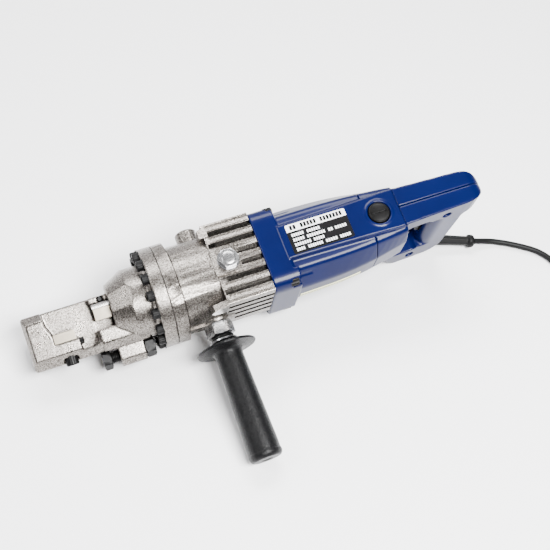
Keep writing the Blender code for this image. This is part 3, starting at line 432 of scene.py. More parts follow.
def plastic(name, colour, roughness, grain=700.0, depth=0.2, relief=0.0004, specular=0.15):
    look, tree, shader = new_look(name, colour, roughness, 0.0, specular)
    fine = noise_node(tree, grain, 4.0)
    tone = ramp_node(tree, fine.outputs["Fac"], [
        (0.35, tuple(c * 0.75 for c in colour)), (0.7, tuple(c * 1.5 for c in colour))])
    tree.links.new(tone.outputs["Color"], shader.inputs["Base Color"])
    rough = range_node(tree, fine.outputs["Fac"], 0.3, 0.7, roughness * 0.8, roughness * 1.2)
    tree.links.new(rough.outputs["Result"], shader.inputs["Roughness"])
    add_bump(tree, shader, fine.outputs["Fac"], depth, relief)
    return look


def plain(name, colour, roughness):
    """An even finish with only a trace of unevenness."""
    look, tree, shader = new_look(name, colour, roughness, 0.0, 0.12)
    fine = noise_node(tree, 500.0, 2.0)
    rough = range_node(tree, fine.outputs["Fac"], 0.3, 0.7, roughness * 0.9, roughness * 1.1)
    tree.links.new(rough.outputs["Result"], shader.inputs["Roughness"])
    add_bump(tree, shader, fine.outputs["Fac"], 0.04, 0.0002)
    return look


LOOKS = {
    "cast": cast_metal("cast_metal"),
    # A much darker copy of the cast look: painted shade for the grooves between the fins.
    "cast_painted_shade": cast_metal("cast_painted_shade", 1.0, 0.16),
    "blade": machined("blade_steel", (0.22, 0.195, 0.155), 0.36, (1.0, 1.0, 24.0)),
    "bright": machined("bright_steel", (0.30, 0.29, 0.28), 0.24, (1.0, 24.0, 1.0)),
    "zinc": machined("zinc_plate", (0.36, 0.36, 0.365), 0.26, (1.0, 12.0, 1.0)),
    "black_steel": black_steel("black_steel"),
    "blue": gloss_blue("gloss_blue"),
    "black_plastic": plastic("black_plastic", (0.002, 0.0019, 0.0019), 0.34, 900.0, 0.12),
    "grip": plastic("grip_plastic", (0.003, 0.003, 0.0033), 0.34, 520.0, 0.7, 0.0007, 0.14),
    "rubber": plastic("cord_rubber", (0.002, 0.002, 0.0021), 0.5, 1500.0, 0.12),
    "copper": machined("copper", (0.75, 0.38, 0.22), 0.3),
    "carbon": plastic("carbon", (0.03, 0.03, 0.03), 0.6),
    "lamination": machined("lamination", (0.33, 0.33, 0.35), 0.4, (60.0, 1.0, 1.0)),
    "seal": plastic("seal_rubber", (0.03, 0.11, 0.085), 0.5),
    "label_black": plain("label_black", (0.0015, 0.0015, 0.002), 0.4),
    "label_white": plain("label_white", (0.86, 0.86, 0.88), 0.4),
    "cream": plain("cream_trim", (0.80, 0.79, 0.50), 0.4),
}

SLOT_LOOKS = {
    "cast": "cast", "blade": "blade", "bright_steel": "bright", "black_oxide": "black_steel",
    "zinc": "zinc", "blue_shell": "blue", "black_plastic": "black_plastic", "rubber": "rubber",
    "copper": "copper", "carbon": "carbon", "lamination": "lamination", "seal": "seal",
    "label": "label_black",
}


def dress_nodes():
    """Every CAD node that stays gets its procedural material."""
    slots = {part["node"]: part["material_slot"] for part in frame["record"]["subparts"]}
    for name, obj in frame["nodes"].items():
        look = LOOKS[SLOT_LOOKS[slots[name]]]
        obj.data.materials.clear()
        obj.data.materials.append(look)


# Cord -----------------------------------------------------------------

CORD_R = 3.25
CORD_Z = 3.45
COIL_CENTRE = (364.0, -52.75)
COIL_OUTER_R = 49.9
COIL_PITCH = 6.6
COIL_UPPER_Z = 10.3
COIL_START = 165.0            # degrees, where the lead meets the outer turn
TURNS_DOWN, TURNS_LEVEL, TURNS_UP = 3.6, 0.2, 3.436
LEAD_ROUTE = [
    (241.9, 54.05, 7.8), (251.0, 52.65, 6.0), (261.0, 50.9, 4.2), (270.2, 47.6, CORD_Z),
    (279.0, 43.0, CORD_Z), (288.6, 37.3, CORD_Z), (298.0, 31.0, CORD_Z), (306.1, 24.5, CORD_Z),
    (312.6, 16.5, CORD_Z), (317.3, 7.2, CORD_Z), (319.9, -2.8, CORD_Z), (320.2, -15.25, CORD_Z),
]
INTO_COIL, OUT_OF_COIL = (318.8, -27.2, CORD_Z), (356.2, -104.5, 10.0)
TAIL_ROUTE = [(365.5, -109.45, 9.4), (370.5, -110.85, 9.2), (375.0, -111.85, 9.2)]
STEPS_PER_SPAN, STEPS_PER_TURN = 4, 24
PLUG_AT, PLUG_TURN_DEG = (375.3, -111.95, 9.2), -17.0
GUARD_START, GUARD_END = Vector((304.0, -6.4, -65.8)), Vector((356.0, -23.0, -72.0))


def smooth_route(points):
    """Points on a smooth curve through the route's own points."""
    places = [Vector(point) for point in points]
    ends = [2 * places[0] - places[1]] + places + [2 * places[-1] - places[-2]]
    route = []
    for before, start, stop, after in zip(ends, ends[1:], ends[2:], ends[3:]):
        for i in range(STEPS_PER_SPAN):
            t = i / STEPS_PER_SPAN
            route.append(0.5 * (2 * start + (stop - before) * t
                                + (2 * before - 5 * start + 4 * stop - after) * t * t
                                + (3 * start - before - 3 * stop + after) * t ** 3))
    return route + [places[-1]]


def coil_route():
    """A spiral inwards on the bench, a short climb, then a spiral outwards on top of it."""
    inner = COIL_OUTER_R - COIL_PITCH * TURNS_DOWN
    total = TURNS_DOWN + TURNS_LEVEL + TURNS_UP
    points = []
    for i in range(round(total * STEPS_PER_TURN) + 1):
        turn = min(i / STEPS_PER_TURN, total)
        radius = max(inner, COIL_OUTER_R - COIL_PITCH * turn)
        radius += COIL_PITCH * max(0.0, turn - TURNS_DOWN - TURNS_LEVEL)
        climb = min(1.0, max(0.0, turn - TURNS_DOWN) / TURNS_LEVEL)
        angle = math.radians(COIL_START + 360.0 * turn)
        points.append(Vector((COIL_CENTRE[0] + radius * math.cos(angle),
                              COIL_CENTRE[1] + radius * math.sin(angle),
                              CORD_Z + (COIL_UPPER_Z - CORD_Z) * climb)))
    return points


def tube(points, radius, sides=4, scale=1.0):
    """A round bar along a route as a curve object, with filled ends."""
    curve = bpy.data.curves.new("tube", "CURVE")
    curve.dimensions = "3D"
    curve.bevel_depth = radius * scale
    curve.bevel_resolution = sides
    curve.use_fill_caps = True
    spline = curve.splines.new("POLY")
    spline.points.add(len(points) - 1)
    for point, place in zip(spline.points, points):
        point.co = (*(Vector(place) * scale), 1.0)
    spline.use_smooth = True
    return curve


def add_cord():
    coil = coil_route()
    route = smooth_route([*LEAD_ROUTE, INTO_COIL, coil[0]])[:-1]
    route += coil
    route += smooth_route([coil[-1], OUT_OF_COIL, *TAIL_ROUTE])[1:]
    curve = tube(route, CORD_R, 5, MM)
    cord = bpy.data.objects.new("mains_cord", curve)
    bpy.context.scene.collection.objects.link(cord)
    curve.materials.append(LOOKS["rubber"])
    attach(cord, HOUSING)
    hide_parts("cord", "cord_tail", "cord_coil")
    plug = add_plug()


def add_plug():
    """A moulded plug with a ribbed strain relief and two pins."""
    sections = ((0.3, 4.6, 4.4), (15.0, 5.6, 5.2), (20.0, 7.0, 6.4), (26.0, 14.0, 8.6),
                (32.0, 16.6, 8.9), (44.0, 17.0, 8.9), (46.5, 16.0, 7.9))
    rings = []
    for x, half_y, half_z in sections:
        corners = [(half_y, half_z), (-half_y, half_z), (-half_y, -half_z), (half_y, -half_z)]
        rings.append([(x, y, z) for y, z in rounded(corners, min(half_y, half_z) * 0.6, 5)])
    plug = loft(rings)
    for start in (3.0, 6.5, 10.0, 13.5):
        plug = join(plug, lathe([(start, 5.6), (start + 0.5, 6.1), (start + 1.3, 6.1),
                                 (start + 1.8, 5.6)], "X", (0.0, 0.0), 24))
    pins = [lathe([(44.0, 2.4), (63.0, 2.4), (64.5, 1.6), (65.0, 0.3)], "X", (side, 0.0), 20)
            for side in (-9.5, 9.5)]
    plug = join(plug, *pins)
    place = (Matrix.Translation(Vector(PLUG_AT) * MM)
             @ Matrix.Rotation(math.radians(PLUG_TURN_DEG), 4, "Z"))
    return piece("mains_plug", plug, "black_plastic", ["plug"], place=place)


def add_cord_guard():
    """Tapered strain relief with lengthwise flutes and a collar at its end."""
    axis = (GUARD_END - GUARD_START).normalized()
    side = axis.cross(Vector((0.0, 0.0, 1.0))).normalized()
    over = side.cross(axis)
    length = (GUARD_END - GUARD_START).length
    rings = []
    steps = (                  # share of the length, radius, depth of the flutes
        (0.0, 5.5, 0.0), (0.26, 5.6, 0.0), (0.30, 5.8, 0.5), (0.84, 5.2, 0.5), (0.88, 5.2, 0.0),
        (0.90, 6.8, 0.0), (0.925, 7.1, 0.0), (0.975, 7.0, 0.0), (1.0, 6.2, 0.0), (1.0, 3.45, 0.0))
    for share, radius, flute in steps:
        ring = []
        for i in range(48):
            angle = 2 * math.pi * i / 48
            r = radius - flute * (0.5 + 0.5 * math.cos(angle * 6))
            ring.append(GUARD_START + axis * length * share + side * r * math.cos(angle)
                        + over * r * math.sin(angle))
        rings.append(ring)
    piece("cord_relief", loft(rings), "rubber", ["cord_guard"], 50.0)


add_camera()
dress_nodes()
add_cord()
add_cord_guard()


# Hydraulic head -------------------------------------------------------

FLANGE_R = 48.5
COLLAR_R = 35.0
CONE = ((-20.0, COLLAR_R), (-38.5, 25.5))
JAW_X = (-120.0, -34.0)
JAW_FLOOR = -9.0
SEAT_REAR = -76.2
STOPPER_AT = (-41.5, 0.0)
BOLT_COUNT, BOLT_CIRCLE_R, FIRST_BOLT_DEG = 16, 42.9, 15.1
KNURL_POINTS, KNURL_DEPTH = 48, 0.22
FIXED_SCREW_AT = (-86.0, 9.5)          # x, z of the screw that holds the fixed blade
GUIDE_SCREW_AT = (-45.3, 14.6)         # x, y of the screw that keeps the ram from turning


def jaw_section():
    """The jaw's cross-section in (y, z): flat top, broad chamfers, rounded belly."""
    corners = [(17.8, 10.0), (10.7, 18.0), (-24.4, 18.0), (-34.0, 9.0), (-34.0, -20.0),
               (-14.0, -30.0), (11.0, -30.0), (17.8, -23.0)]
    return rounded(corners, [2.0, 3.0, 2.5, 3.0, 5.0, 6.0, 6.0, 4.0], 3)


def mouth_cut():
    """The open mouth in plan, with the slanting wall behind the nose and the blade's seat."""
    plan = rounded([(-50.0, 26.0), (-101.6, 26.0), (-101.0, 6.0), (-96.6, -5.0), (-96.6, -14.4),
                    (-20.0, -14.4), (-20.0, 26.0)], [0, 0, 5.0, 2.0, 0, 0, 0], 4)
    return prism(plan, (JAW_FLOOR, 40.0), "Z", JAW)


def notch_cut():
    """The gap beside the mouth, with a round rear end."""
    plan = rounded([(-73.8, -10.0), (-73.8, -26.4), (-56.6, -26.4), (-56.6, -10.0)],
                   [0, 2.5, 8.0, 0], 6)
    return prism(plan, (JAW_FLOOR, 40.0), "Z", JAW)


def head_casting():
    head = lathe([(12.9, 25.0), (12.9, FLANGE_R), (0.5, FLANGE_R), (0.5, COLLAR_R + 3.0),
                  (-2.5, COLLAR_R), *CONE, (-38.5, 15.8), (-24.0, 15.8), (-24.0, 25.0)],
                 "X", count=96, closed=True)
    facet = prism([(-60.0, 24.0 - 11.0), (-38.5, 24.0), (-12.0, 37.6), (-12.0, 60.0),
                   (-60.0, 60.0)], (-60.0, 60.0), "Y")
    cut(head, facet)
    nose = prism(jaw_section(), JAW_X, "X", JAW)
    front = prism([(-121.0, -40.0), (-116.0, -30.0), (-120.0, -16.0), (-120.0, 12.5),
                   (-116.5, 18.2), (-100.0, 25.0), (-30.0, 25.0), (-30.0, -40.0)],
                  (-60.0, 60.0), "Y", JAW)
    keep(nose, front)
    sides = prism(rounded([(-121.0, -36.0), (-121.0, 19.0), (-30.0, 19.0), (-30.0, -36.0)],
                          [9.0, 7.0, 0, 0], 5), (-60.0, 60.0), "Z", JAW)
    keep(nose, sides)
    cut(nose, mouth_cut(), notch_cut(), rod("X", -38.3, -30.0, (0, 0), 15.8, 64))
    cheek = prism(rounded([(-13.0, 21.0), (-26.0, 21.0), (-34.3, 13.5), (-34.3, -14.2),
                           (-13.0, -15.2)], [0.8, 4.0, 5.0, 2.0, 1.0]), (-55.0, -12.0), "X", JAW)
    pad = box((-56.5, -30.0), (11.0, 17.6), (-20.0, 10.0), JAW)
    lug = prism(rounded([(-24.0, 14.0), (-46.0, 14.0), (-52.3, 8.5), (-52.3, -6.5), (-46.0, -13.0),
                         (-24.0, -15.0)], [0.5, 4.0, 4.0, 5.0, 5.0, 1.0]), (-43.2, -18.8), "X", JAW)
    for part in (cheek, pad, lug):
        cut(part, rod("X", -38.3, -5.0, (0, 0), 16.1, 64, JAW),
            rod("X", -24.3, -4.0, (0, 0), 25.3, 64, JAW))
    join(head, nose, cheek, pad, lug)
    cut(head,
        rod("X", -18.8, 0.5, STOPPER_AT, 11.8, 48, JAW),
        rod("X", -73.0, -43.2, STOPPER_AT, 11.2, 48, JAW),
        rod("X", -60.0, 0.0, STOPPER_AT, 6.8, 32, JAW),
        rod("Y", -40.0, -28.6, FIXED_SCREW_AT, 7.0, 32, JAW),
        rod("Y", -40.0, -12.0, FIXED_SCREW_AT, 4.3, 24, JAW),
        rod("Z", 2.0, 14.0, GUIDE_SCREW_AT, 3.1, 24, JAW),
        box((-56.8, -11.0), (-14.5, 12.2), (-9.4, 12.8), JAW))
    piece("cast_head", cast_skin(head, 0.75, 3), "cast", ["head_casting"], 70.0)


def cap_screw(radius, height, turn):
    """A knurled socket head standing along -X from the origin."""
    def knurled(x):
        ring = []
        for i in range(KNURL_POINTS):
            angle = 2 * math.pi * i / KNURL_POINTS
            r = radius - (KNURL_DEPTH if i % 2 else 0.0)
            ring.append((x, r * math.cos(angle), r * math.sin(angle)))
        return ring

    end_face = [(-height, y, z) for y, z in circle(radius - 0.8, KNURL_POINTS)]
    head = loft([knurled(2.0), knurled(0.8 - height), end_face])
    flats = radius * 0.55 / math.cos(math.radians(30))
    socket = lathe([(-height - 1.0, flats), (-height * 0.45, flats)], "X", (0, 0), 6)
    cut(head, socket)
    head.data.transform(turn)
    return head


def flange_bolts():
    """The heads of the bolts round the flange, each with a flat washer."""
    screw = cap_screw(5.0, 5.9, FLAT)
    washer = lathe([(0.75, 5.2), (0.75, 6.0), (0.0, 6.0), (-0.15, 5.8), (-0.15, 5.2)], "X",
                   count=32, closed=True)
    parts = []
    for i in range(BOLT_COUNT):
        angle = math.radians(FIRST_BOLT_DEG + 360.0 / BOLT_COUNT * i)
        place = Matrix.Translation((0.0, -BOLT_CIRCLE_R * math.sin(angle),
                                    BOLT_CIRCLE_R * math.cos(angle)))
        place = place @ Matrix.Rotation(angle * 3.7, 4, "X")
        for source in (screw, washer):
            copy = source.copy()
            copy.data = source.data.copy()
            copy.data.transform(place)
            workshop.objects.link(copy)
            parts.append(copy)
    for source in (screw, washer):
        bpy.data.objects.remove(source, do_unlink=True)
    return parts


def merge(objects):
    """One mesh from several, without a boolean."""
    bm = bmesh.new()
    for obj in objects:
        bm.from_mesh(obj.data)
        bpy.data.objects.remove(obj, do_unlink=True)
    return from_bmesh(bm)


def jaw_blades():
    seat = box((-96.4, SEAT_REAR), (-14.2, -4.9), (JAW_FLOOR + 0.2, 16.4), JAW)
    piece("blade_fixed", bevel(seat, 0.5), "blade", ["fixed_blade"])
    moving = box((-54.9, -38.6), (-4.6, 6.9), (JAW_FLOOR + 0.3, 12.0), JAW)
    piece("blade_moving", bevel(moving, 0.5), "blade", ["moving_blade"], body=RAM)
    screw_x, screw_z = FIXED_SCREW_AT
    place = (JAW @ Matrix.Translation((screw_x, -28.6, screw_z))
             @ Matrix.Rotation(math.pi / 2, 4, "Z"))
    screw = cap_screw(6.0, 8.0, place)
    piece("blade_screw", screw, "black_steel", ["fixed_blade_screw"])
    guide = cap_screw(2.6, 2.5, JAW @ Matrix.Translation((*GUIDE_SCREW_AT, 4.0))
                      @ Matrix.Rotation(math.pi / 2, 4, "Y"))
    piece("guide_screw", guide, "black_steel", ["ram_guide_screw"])
    stud = cap_screw(3.4, 4.2, JAW @ Matrix.Translation((-73.9, -17.3, 2.0))
                     @ Matrix.Rotation(math.pi, 4, "Z"))
    piece("notch_screw", stud, "black_steel", ())


def ram_rod():
    rod_solid = lathe([(20.0, 0.0), (20.0, 23.4), (19.4, 24.0), (16.5, 24.0), (16.5, 21.0),
                       (12.5, 21.0), (12.5, 24.0), (8.6, 24.0), (8.0, 23.4), (8.0, 15.0),
                       (-55.0, 15.0), (-55.0, 0.0)], "X", count=96)
    cut(rod_solid,
        box((-60.0, -14.4), (-20.0, 20.0), (-20.0, -8.7), JAW),
        box((-60.0, -14.4), (11.5, 20.0), (-8.9, 20.0), JAW),
        box((-60.0, -14.4), (-20.0, -13.9), (-8.9, 20.0), JAW),
        box((-60.0, -38.4), (-14.2, 7.1), (-8.9, 20.0), JAW),
        box((-60.0, -38.4), (6.1, 14.0), (12.3, 20.0), JAW))
    piece("ram_rod", bevel(rod_solid, 0.4), "bright", ["ram"], body=RAM)


def stopper():
    bolt = hexagon("X", -59.4, -51.2, STOPPER_AT, 18.0, JAW, 1.2)
    shank = [(-51.4, 6.2)]
    for i in range(27):
        x = -51.0 + 1.5 * i
        shank += [(x + 0.2, 6.0), (x + 0.75, 5.5), (x + 1.3, 6.0)]
    shank += [(-9.6, 5.4)]
    join(bolt, lathe(shank, "X", STOPPER_AT, 32, JAW))
    piece("stopper_screw", bevel(bolt, 0.25), "black_steel", ["stopper_bolt"],
          body=STOPPER)
    nut = hexagon("X", -18.5, -8.9, STOPPER_AT, 18.0, JAW, 1.2)
    cut(nut, rod("X", -25.0, 0.0, STOPPER_AT, 6.3, 32, JAW))
    piece("stopper_lock_nut", bevel(nut, 0.25), "black_steel", ["stopper_nut"])


head_casting()
piece("flange_cap_screws", merge(flange_bolts()), "black_steel", ["flange_bolts"])
jaw_blades()
ram_rod()
stopper()


# Pump housing ---------------------------------------------------------

PUMP_R = 42.7
BLOCK_HALF = 41.0
FIN_PITCH, FIN_GROOVE, FIN_DEPTH = 11.8, 5.2, 4.0
HANDLE_X = 52.4
PLUG_X = 76.0


def fin_grooves():
    """The extents of the grooves between the cooling fins, open at both ends."""
    reach = (63.0, 110.0)
    high = (BLOCK_HALF - FIN_DEPTH, BLOCK_HALF + 3.0)
    low = (-high[1], -high[0])

    def across(step):
        middle = (step - 0.5) * FIN_PITCH
        return (middle - FIN_GROOVE / 2, middle + FIN_GROOVE / 2)

    spans = [(reach, across(step), high) for step in (-2, -1, 0, 1, 2, 3)]
    spans += [(reach, side, across(step)) for side in (high, low) for step in (0, 1, 2, 3)]
    spans += [(reach, across(step), low) for step in (0, 1)]
    return spans


def paint_groove_shade(obj):
    """Paints shade into the grooves: the faces below the fins' tops get the much darker cast look.
    """
    to_tool, spans = TOOL.inverted(), fin_grooves()
    obj.data.materials.append(LOOKS["cast_painted_shade"])
    for face in obj.data.polygons:
        place = (to_tool @ face.center) / MM
        if max(abs(place.y), abs(place.z)) >= BLOCK_HALF - 0.4:
            continue
        if any(all(low - 0.1 < value < high + 0.1 for value, (low, high) in zip(place, span))
               for span in spans):
            face.material_index = 1


def fin_ribs():
    """A thin raised bead along each side of every fin on the top."""
    ribs = []
    for step in (-3, -2, -1, 0, 1, 2, 3):
        for edge in (-2.6, 2.6):
            middle = step * FIN_PITCH + edge
            if abs(middle) < 38.5:
                ribs.append(box((66.0, 108.0), (middle - 0.7, middle + 0.7), (40.0, 41.7)))
    return ribs


def pump_casting():
    housing = lathe([(70.0, 0.0), (70.0, PUMP_R), (26.4, PUMP_R), (25.9, PUMP_R - 2.2),
                     (24.4, PUMP_R - 2.2), (24.4, FLANGE_R), (13.3, FLANGE_R), (13.3, 0.0)], "X",
                    count=96)
    block = prism(rounded([(41, 41), (-41, 41), (-41, -18), (-36, -28), (-27, -36), (-14, -41),
                           (14, -41), (27, -36), (36, -28), (41, -18)], 1.5, 2), (62.0, 108.2), "X")
    cut(block, *[box(*span) for span in fin_grooves()])
    near_rail = prism([(62.0, 41.0), (49.0, 36.0), (46.0, 31.0), (49.0, 26.0), (62.0, 24.0)],
                      (-42.5, -36.0), "Y")
    far_rail = box((57.5, 66.0), (27.8, 37.0), (24.0, 41.5))
    pad = prism(rounded([(60.8, -12.6), (86.8, -12.6), (86.8, 13.2), (60.8, 13.2)], 1.5, 2),
                (30.0, 43.0), "Z")
    boss = lathe([(-44.0, 12.6), (-42.5, 13.5), (-20.0, 13.5)], "Y", (HANDLE_X, 0.0), 48)
    web = prism([(24.0, -6.0), (50.0, -6.0), (50.0, 6.0), (24.0, 6.0)], (-43.6, -30.0), "Y")
    far_boss = lathe([(20.0, 10.5), (53.0, 10.5), (54.0, 9.6)], "Y", (HANDLE_X, 0.0), 48)
    join(housing, block, near_rail, far_rail, pad, boss, web, far_boss, *fin_ribs())
    cut(housing,
        rod("X", 0.0, 28.0, (0, 0), 25.0, 64),
        rod("X", 33.6, 120.0, (0, 0), 33.4, 64),
        rod("Z", 25.0, 60.0, (PLUG_X, 0.0), 6.8, 32),
        rod("Y", -60.0, -35.0, (HANDLE_X, 0.0), 6.6, 32),
        rod("Y", 38.0, 60.0, (HANDLE_X, 0.0), 4.7, 32))
    piece("cast_pump", bevel(housing, 0.6, 2, 32.0), "cast", ["pump_housing"], 45.0)
    # The grooves between the fins get painted shade.
    paint_groove_shade(bpy.data.objects["cast_pump"])


def oil_plug():
    plug = hexagon("Z", 44.4, 48.6, (PLUG_X, 0.0), 17.0, chamfer=0.7)
    dome = lathe([(48.3, 6.6), (48.9, 6.4), (49.3, 5.6), (49.5, 3.6), (49.55, 0.0)], "Z",
                 (PLUG_X, 0.0), 48)
    flange = lathe([(43.9, 8.4), (44.8, 8.4), (45.1, 8.0)], "Z", (PLUG_X, 0.0), 48)
    stem = rod("Z", 33.6, 45.0, (PLUG_X, 0.0), 6.0)
    join(plug, dome, flange, stem)
    piece("fill_plug", bevel(plug, 0.35, 3), "zinc", ["oil_plug"])
    washer = lathe([(43.1, 6.6), (43.1, 10.2), (43.4, 10.5), (43.9, 10.5), (44.1, 10.2),
                    (44.1, 6.6)], "Z", (PLUG_X, 0.0), 64, closed=True)
    piece("fill_plug_washer", washer, "zinc", ["oil_plug_washer"])


pump_casting()
oil_plug()


# Side handle ----------------------------------------------------------

def side_handle():
    axis = (HANDLE_X, 0.0)
    nut = hexagon("Y", -56.4, -44.2, axis, 24.0, chamfer=1.2)
    cut(nut, rod("Y", -60.0, -40.0, axis, 6.3))
    piece("handle_nut", bevel(nut, 0.3), "zinc", ["side_nut"])
    collar = lathe([(-60.5, 6.4), (-60.5, 10.2), (-59.9, 11.0), (-57.9, 11.0), (-57.3, 10.2),
                    (-56.8, 9.8), (-56.8, 6.4)], "Y", axis, 64, closed=True)
    piece("handle_collar", collar, "black_plastic", ["side_collar"])
    washer = lathe([(-62.5, 6.4), (-62.5, 13.2), (-62.2, 13.5), (-61.1, 13.5), (-60.8, 13.2),
                    (-60.8, 6.4)], "Y", axis, 64, closed=True)
    piece("handle_washer", washer, "zinc", ["side_washer"])
    profile = [(-62.8, 6.6), (-62.8, 12.6), (-63.4, 13.0), (-65.6, 14.2), (-66.8, 17.0),
               (-67.4, 22.0), (-67.8, 27.6), (-68.6, 28.7), (-69.6, 28.8), (-70.4, 28.2),
               (-71.0, 22.0), (-72.0, 16.0), (-73.6, 14.0), (-77.0, 13.4), (-90.0, 13.6),
               (-110.0, 14.0), (-125.0, 14.45), (-140.0, 14.9), (-155.0, 15.3), (-166.0, 15.6),
               (-171.5, 15.4), (-172.3, 15.5), (-173.0, 15.9), (-173.6, 16.0), (-175.2, 16.0),
               (-177.4, 15.3), (-178.9, 13.8), (-179.3, 12.2), (-179.3, 6.0), (-178.7, 5.2),
               (-178.6, 0.0)]
    grip = lathe(profile, "Y", axis, 96)
    cut(grip, rod("Y", -90.0, -60.0, axis, 6.4))
    piece("handle_grip", grip, "grip", ["side_grip"], 45.0)


side_handle()


# Motor body -----------------------------------------------------------

SPINE_Z = 43.0
MOTOR_FLANGE = (108.5, 136.6)
THIN_SIDE = 4.2               # the flange is this much thinner away from the near side
FLANGE_HALF = 42.0
MOTOR_SCREWS = [(y, z) for y in (-36.5, 36.5) for z in (-34.0, 34.0)]
BRUSH_X = 229.4
BODY_SECTIONS = (              # x, half width, half width of the flat top
    (130.0, 40.9, 17.0), (145.0, 40.9, 17.2), (160.0, 40.6, 17.5), (172.0, 40.3, 17.8),
    (183.0, 39.7, 18.0), (196.0, 38.6, 18.4), (208.0, 37.2, 18.7), (218.0, 35.6, 19.0),
    (229.0, 33.5, 19.4), (237.0, 31.9, 19.8), (244.0, 30.5, 20.0), (252.5, 28.5, 19.8),
)


def body_ring(x, half, top_half):
    """One cross-section: a raised flat spine, rounded shoulders and a rounded belly."""
    foot = top_half + 1.2
    side = [(top_half, SPINE_Z), (foot, 38.6), (foot + (half - foot) * 0.42, 37.5),
            (half, 19.0), (half, -9.0), (half * 0.62, -35.0), (half * 0.3, -41.0)]
    radii = [1.6, 1.8, 7.0, 11.0, 12.0, 14.0, 6.0]
    outline = side + [(-y, z) for y, z in reversed(side)]
    return [(x, y, z) for y, z in rounded(outline, radii + radii[::-1], 5)]


def section_at(x):
    """The body's section at x; x has to lie between the first and the last one."""
    for first, second in zip(BODY_SECTIONS, BODY_SECTIONS[1:]):
        if first[0] <= x <= second[0]:
            share = (x - first[0]) / (second[0] - first[0])
            return [a + (b - a) * share for a, b in zip(first, second)]
    return BODY_SECTIONS[-1]


def body_between(front, rear):
    """The body's skin over a span, with sections added at both ends of the span."""
    inside = [section for section in BODY_SECTIONS if front < section[0] < rear]
    sections = (section_at(front), *inside, section_at(rear))
    return loft([body_ring(*section) for section in sections])


def flange_outline(half, radius):
    return rounded([(half, half), (-half, half), (-half, -half), (half, -half)], radius, 10)


def flange_block(front, rear, half):
    """A slab of the flange's outline, its edges eased at both ends."""
    sections = ((front, half - 0.7), (front + 0.7, half), (rear - 1.2, half),
                (rear - 0.3, half - 0.5), (rear, half - 1.4))
    return loft([[(x, y, z) for y, z in flange_outline(size, 15.0)] for x, size in sections])


def motor_housing():
    front, rear = MOTOR_FLANGE
    flange = flange_block(front, rear - THIN_SIDE, FLANGE_HALF)
    near_side = keep(flange_block(front + 12.0, rear, FLANGE_HALF + 0.05),
                     box((100.0, 150.0), (-50.0, -26.5), (-50.0, 50.0)))
    body = body_between(130.5, 218.0)
    join(flange, near_side, body)
    tongue = keep(body_between(216.0, 250.0), box((200.0, 260.0), (-30.0, 30.0), (38.8, 50.0)))
    low_tongue = box((217.0, 242.0), (-11.0, 11.0), (-40.8, -36.5))
    join(flange, tongue, low_tongue)
    rim = lathe([(40.0, 14.2), (SPINE_Z, 14.2), (43.5, 13.7), (43.7, 12.9), (43.5, 11.6),
                 (43.3, 11.2), (40.0, 11.2)], "Z", (BRUSH_X, 0.0), 64)
    join(flange, rim)
    cut(flange,
        rod("X", 118.0, 230.0, (0, 0), 34.0, 64),
        rod("X", 100.0, 120.0, (0, 0), 6.5, 32),
        rod("X", 103.0, 114.5, (0, 0), 11.4, 48),
        rod("Z", 30.0, 60.0, (BRUSH_X, 0.0), 11.2, 64),
        rod("Z", -60.0, -30.0, (BRUSH_X, 0.0), 11.2, 64))
    for centre in MOTOR_SCREWS:
        cut(flange, rod("X", 126.8, 150.0, centre, 5.6, 32),
            rod("X", 100.0, 130.0, centre, 3.1, 24))
    piece("motor_cover", cast_skin(flange, 0.75, 3), "blue", ["motor_housing"], 60.0)


def motor_screws():
    for number, centre in enumerate(MOTOR_SCREWS, 1):
        place = Matrix.Translation((126.9, *centre)) @ Matrix.Rotation(math.pi, 4, "Z")
        piece(f"motor_cap_screw_{number}", cap_screw(4.6, 6.4, place), "black_steel",
              [f"motor_screw_{number}"])


def side_strip():
    """A pale trim strip low on both sides of the body, with a dark line along its middle."""
    for name, sign in (("near", -1), ("far", 1)):
        for part, look, low, high, out in (("band", "cream", -5.4, 1.0, 0.35),
                                           ("line", "label_black", -2.7, -1.7, 0.5)):
            rows = []
            for x in (138.5, 145.0, 160.0, 172.0, 183.0, 196.0, 203.0):
                half = section_at(x)[1]
                rows.append([(x, sign * (half - 0.8), low), (x, sign * (half + out), low),
                             (x, sign * (half + out), high), (x, sign * (half - 0.8), high)])
            piece(f"trim_{part}_{name}", bevel(loft(rows), 0.15, 1), look, ())


LABEL_X, LABEL_HALF = (136.9, 198.4), 15.2
BAND_Y = 7.4
BAR_ROWS = (                   # y of the bar, then its words as (start, end) along x
    (3.6, ((140.5, 153.0), (156.0, 169.5))),
    (-1.4, ((140.5, 152.0), (154.5, 173.0), (176.0, 181.0), (183.0, 195.0))),
    (-6.4, ((140.5, 157.0), (159.5, 170.5))),
    (-11.4, ((140.5, 149.0), (152.0, 167.0), (170.0, 182.0), (184.5, 195.5))),
)


def word_bars(y, words, height, pitch, share):
    """A row of letter-sized blocks for each word, with no lettering."""
    blocks = []
    for start, end in words:
        count = max(1, round((end - start) / pitch))
        step = (end - start) / count
        for i in range(count):
            left = start + step * i
            blocks.append(box((left, left + step * share), (y - height / 2, y + height / 2),
                              (SPINE_Z + 0.5, SPINE_Z + 0.68)))
    return merge(blocks)


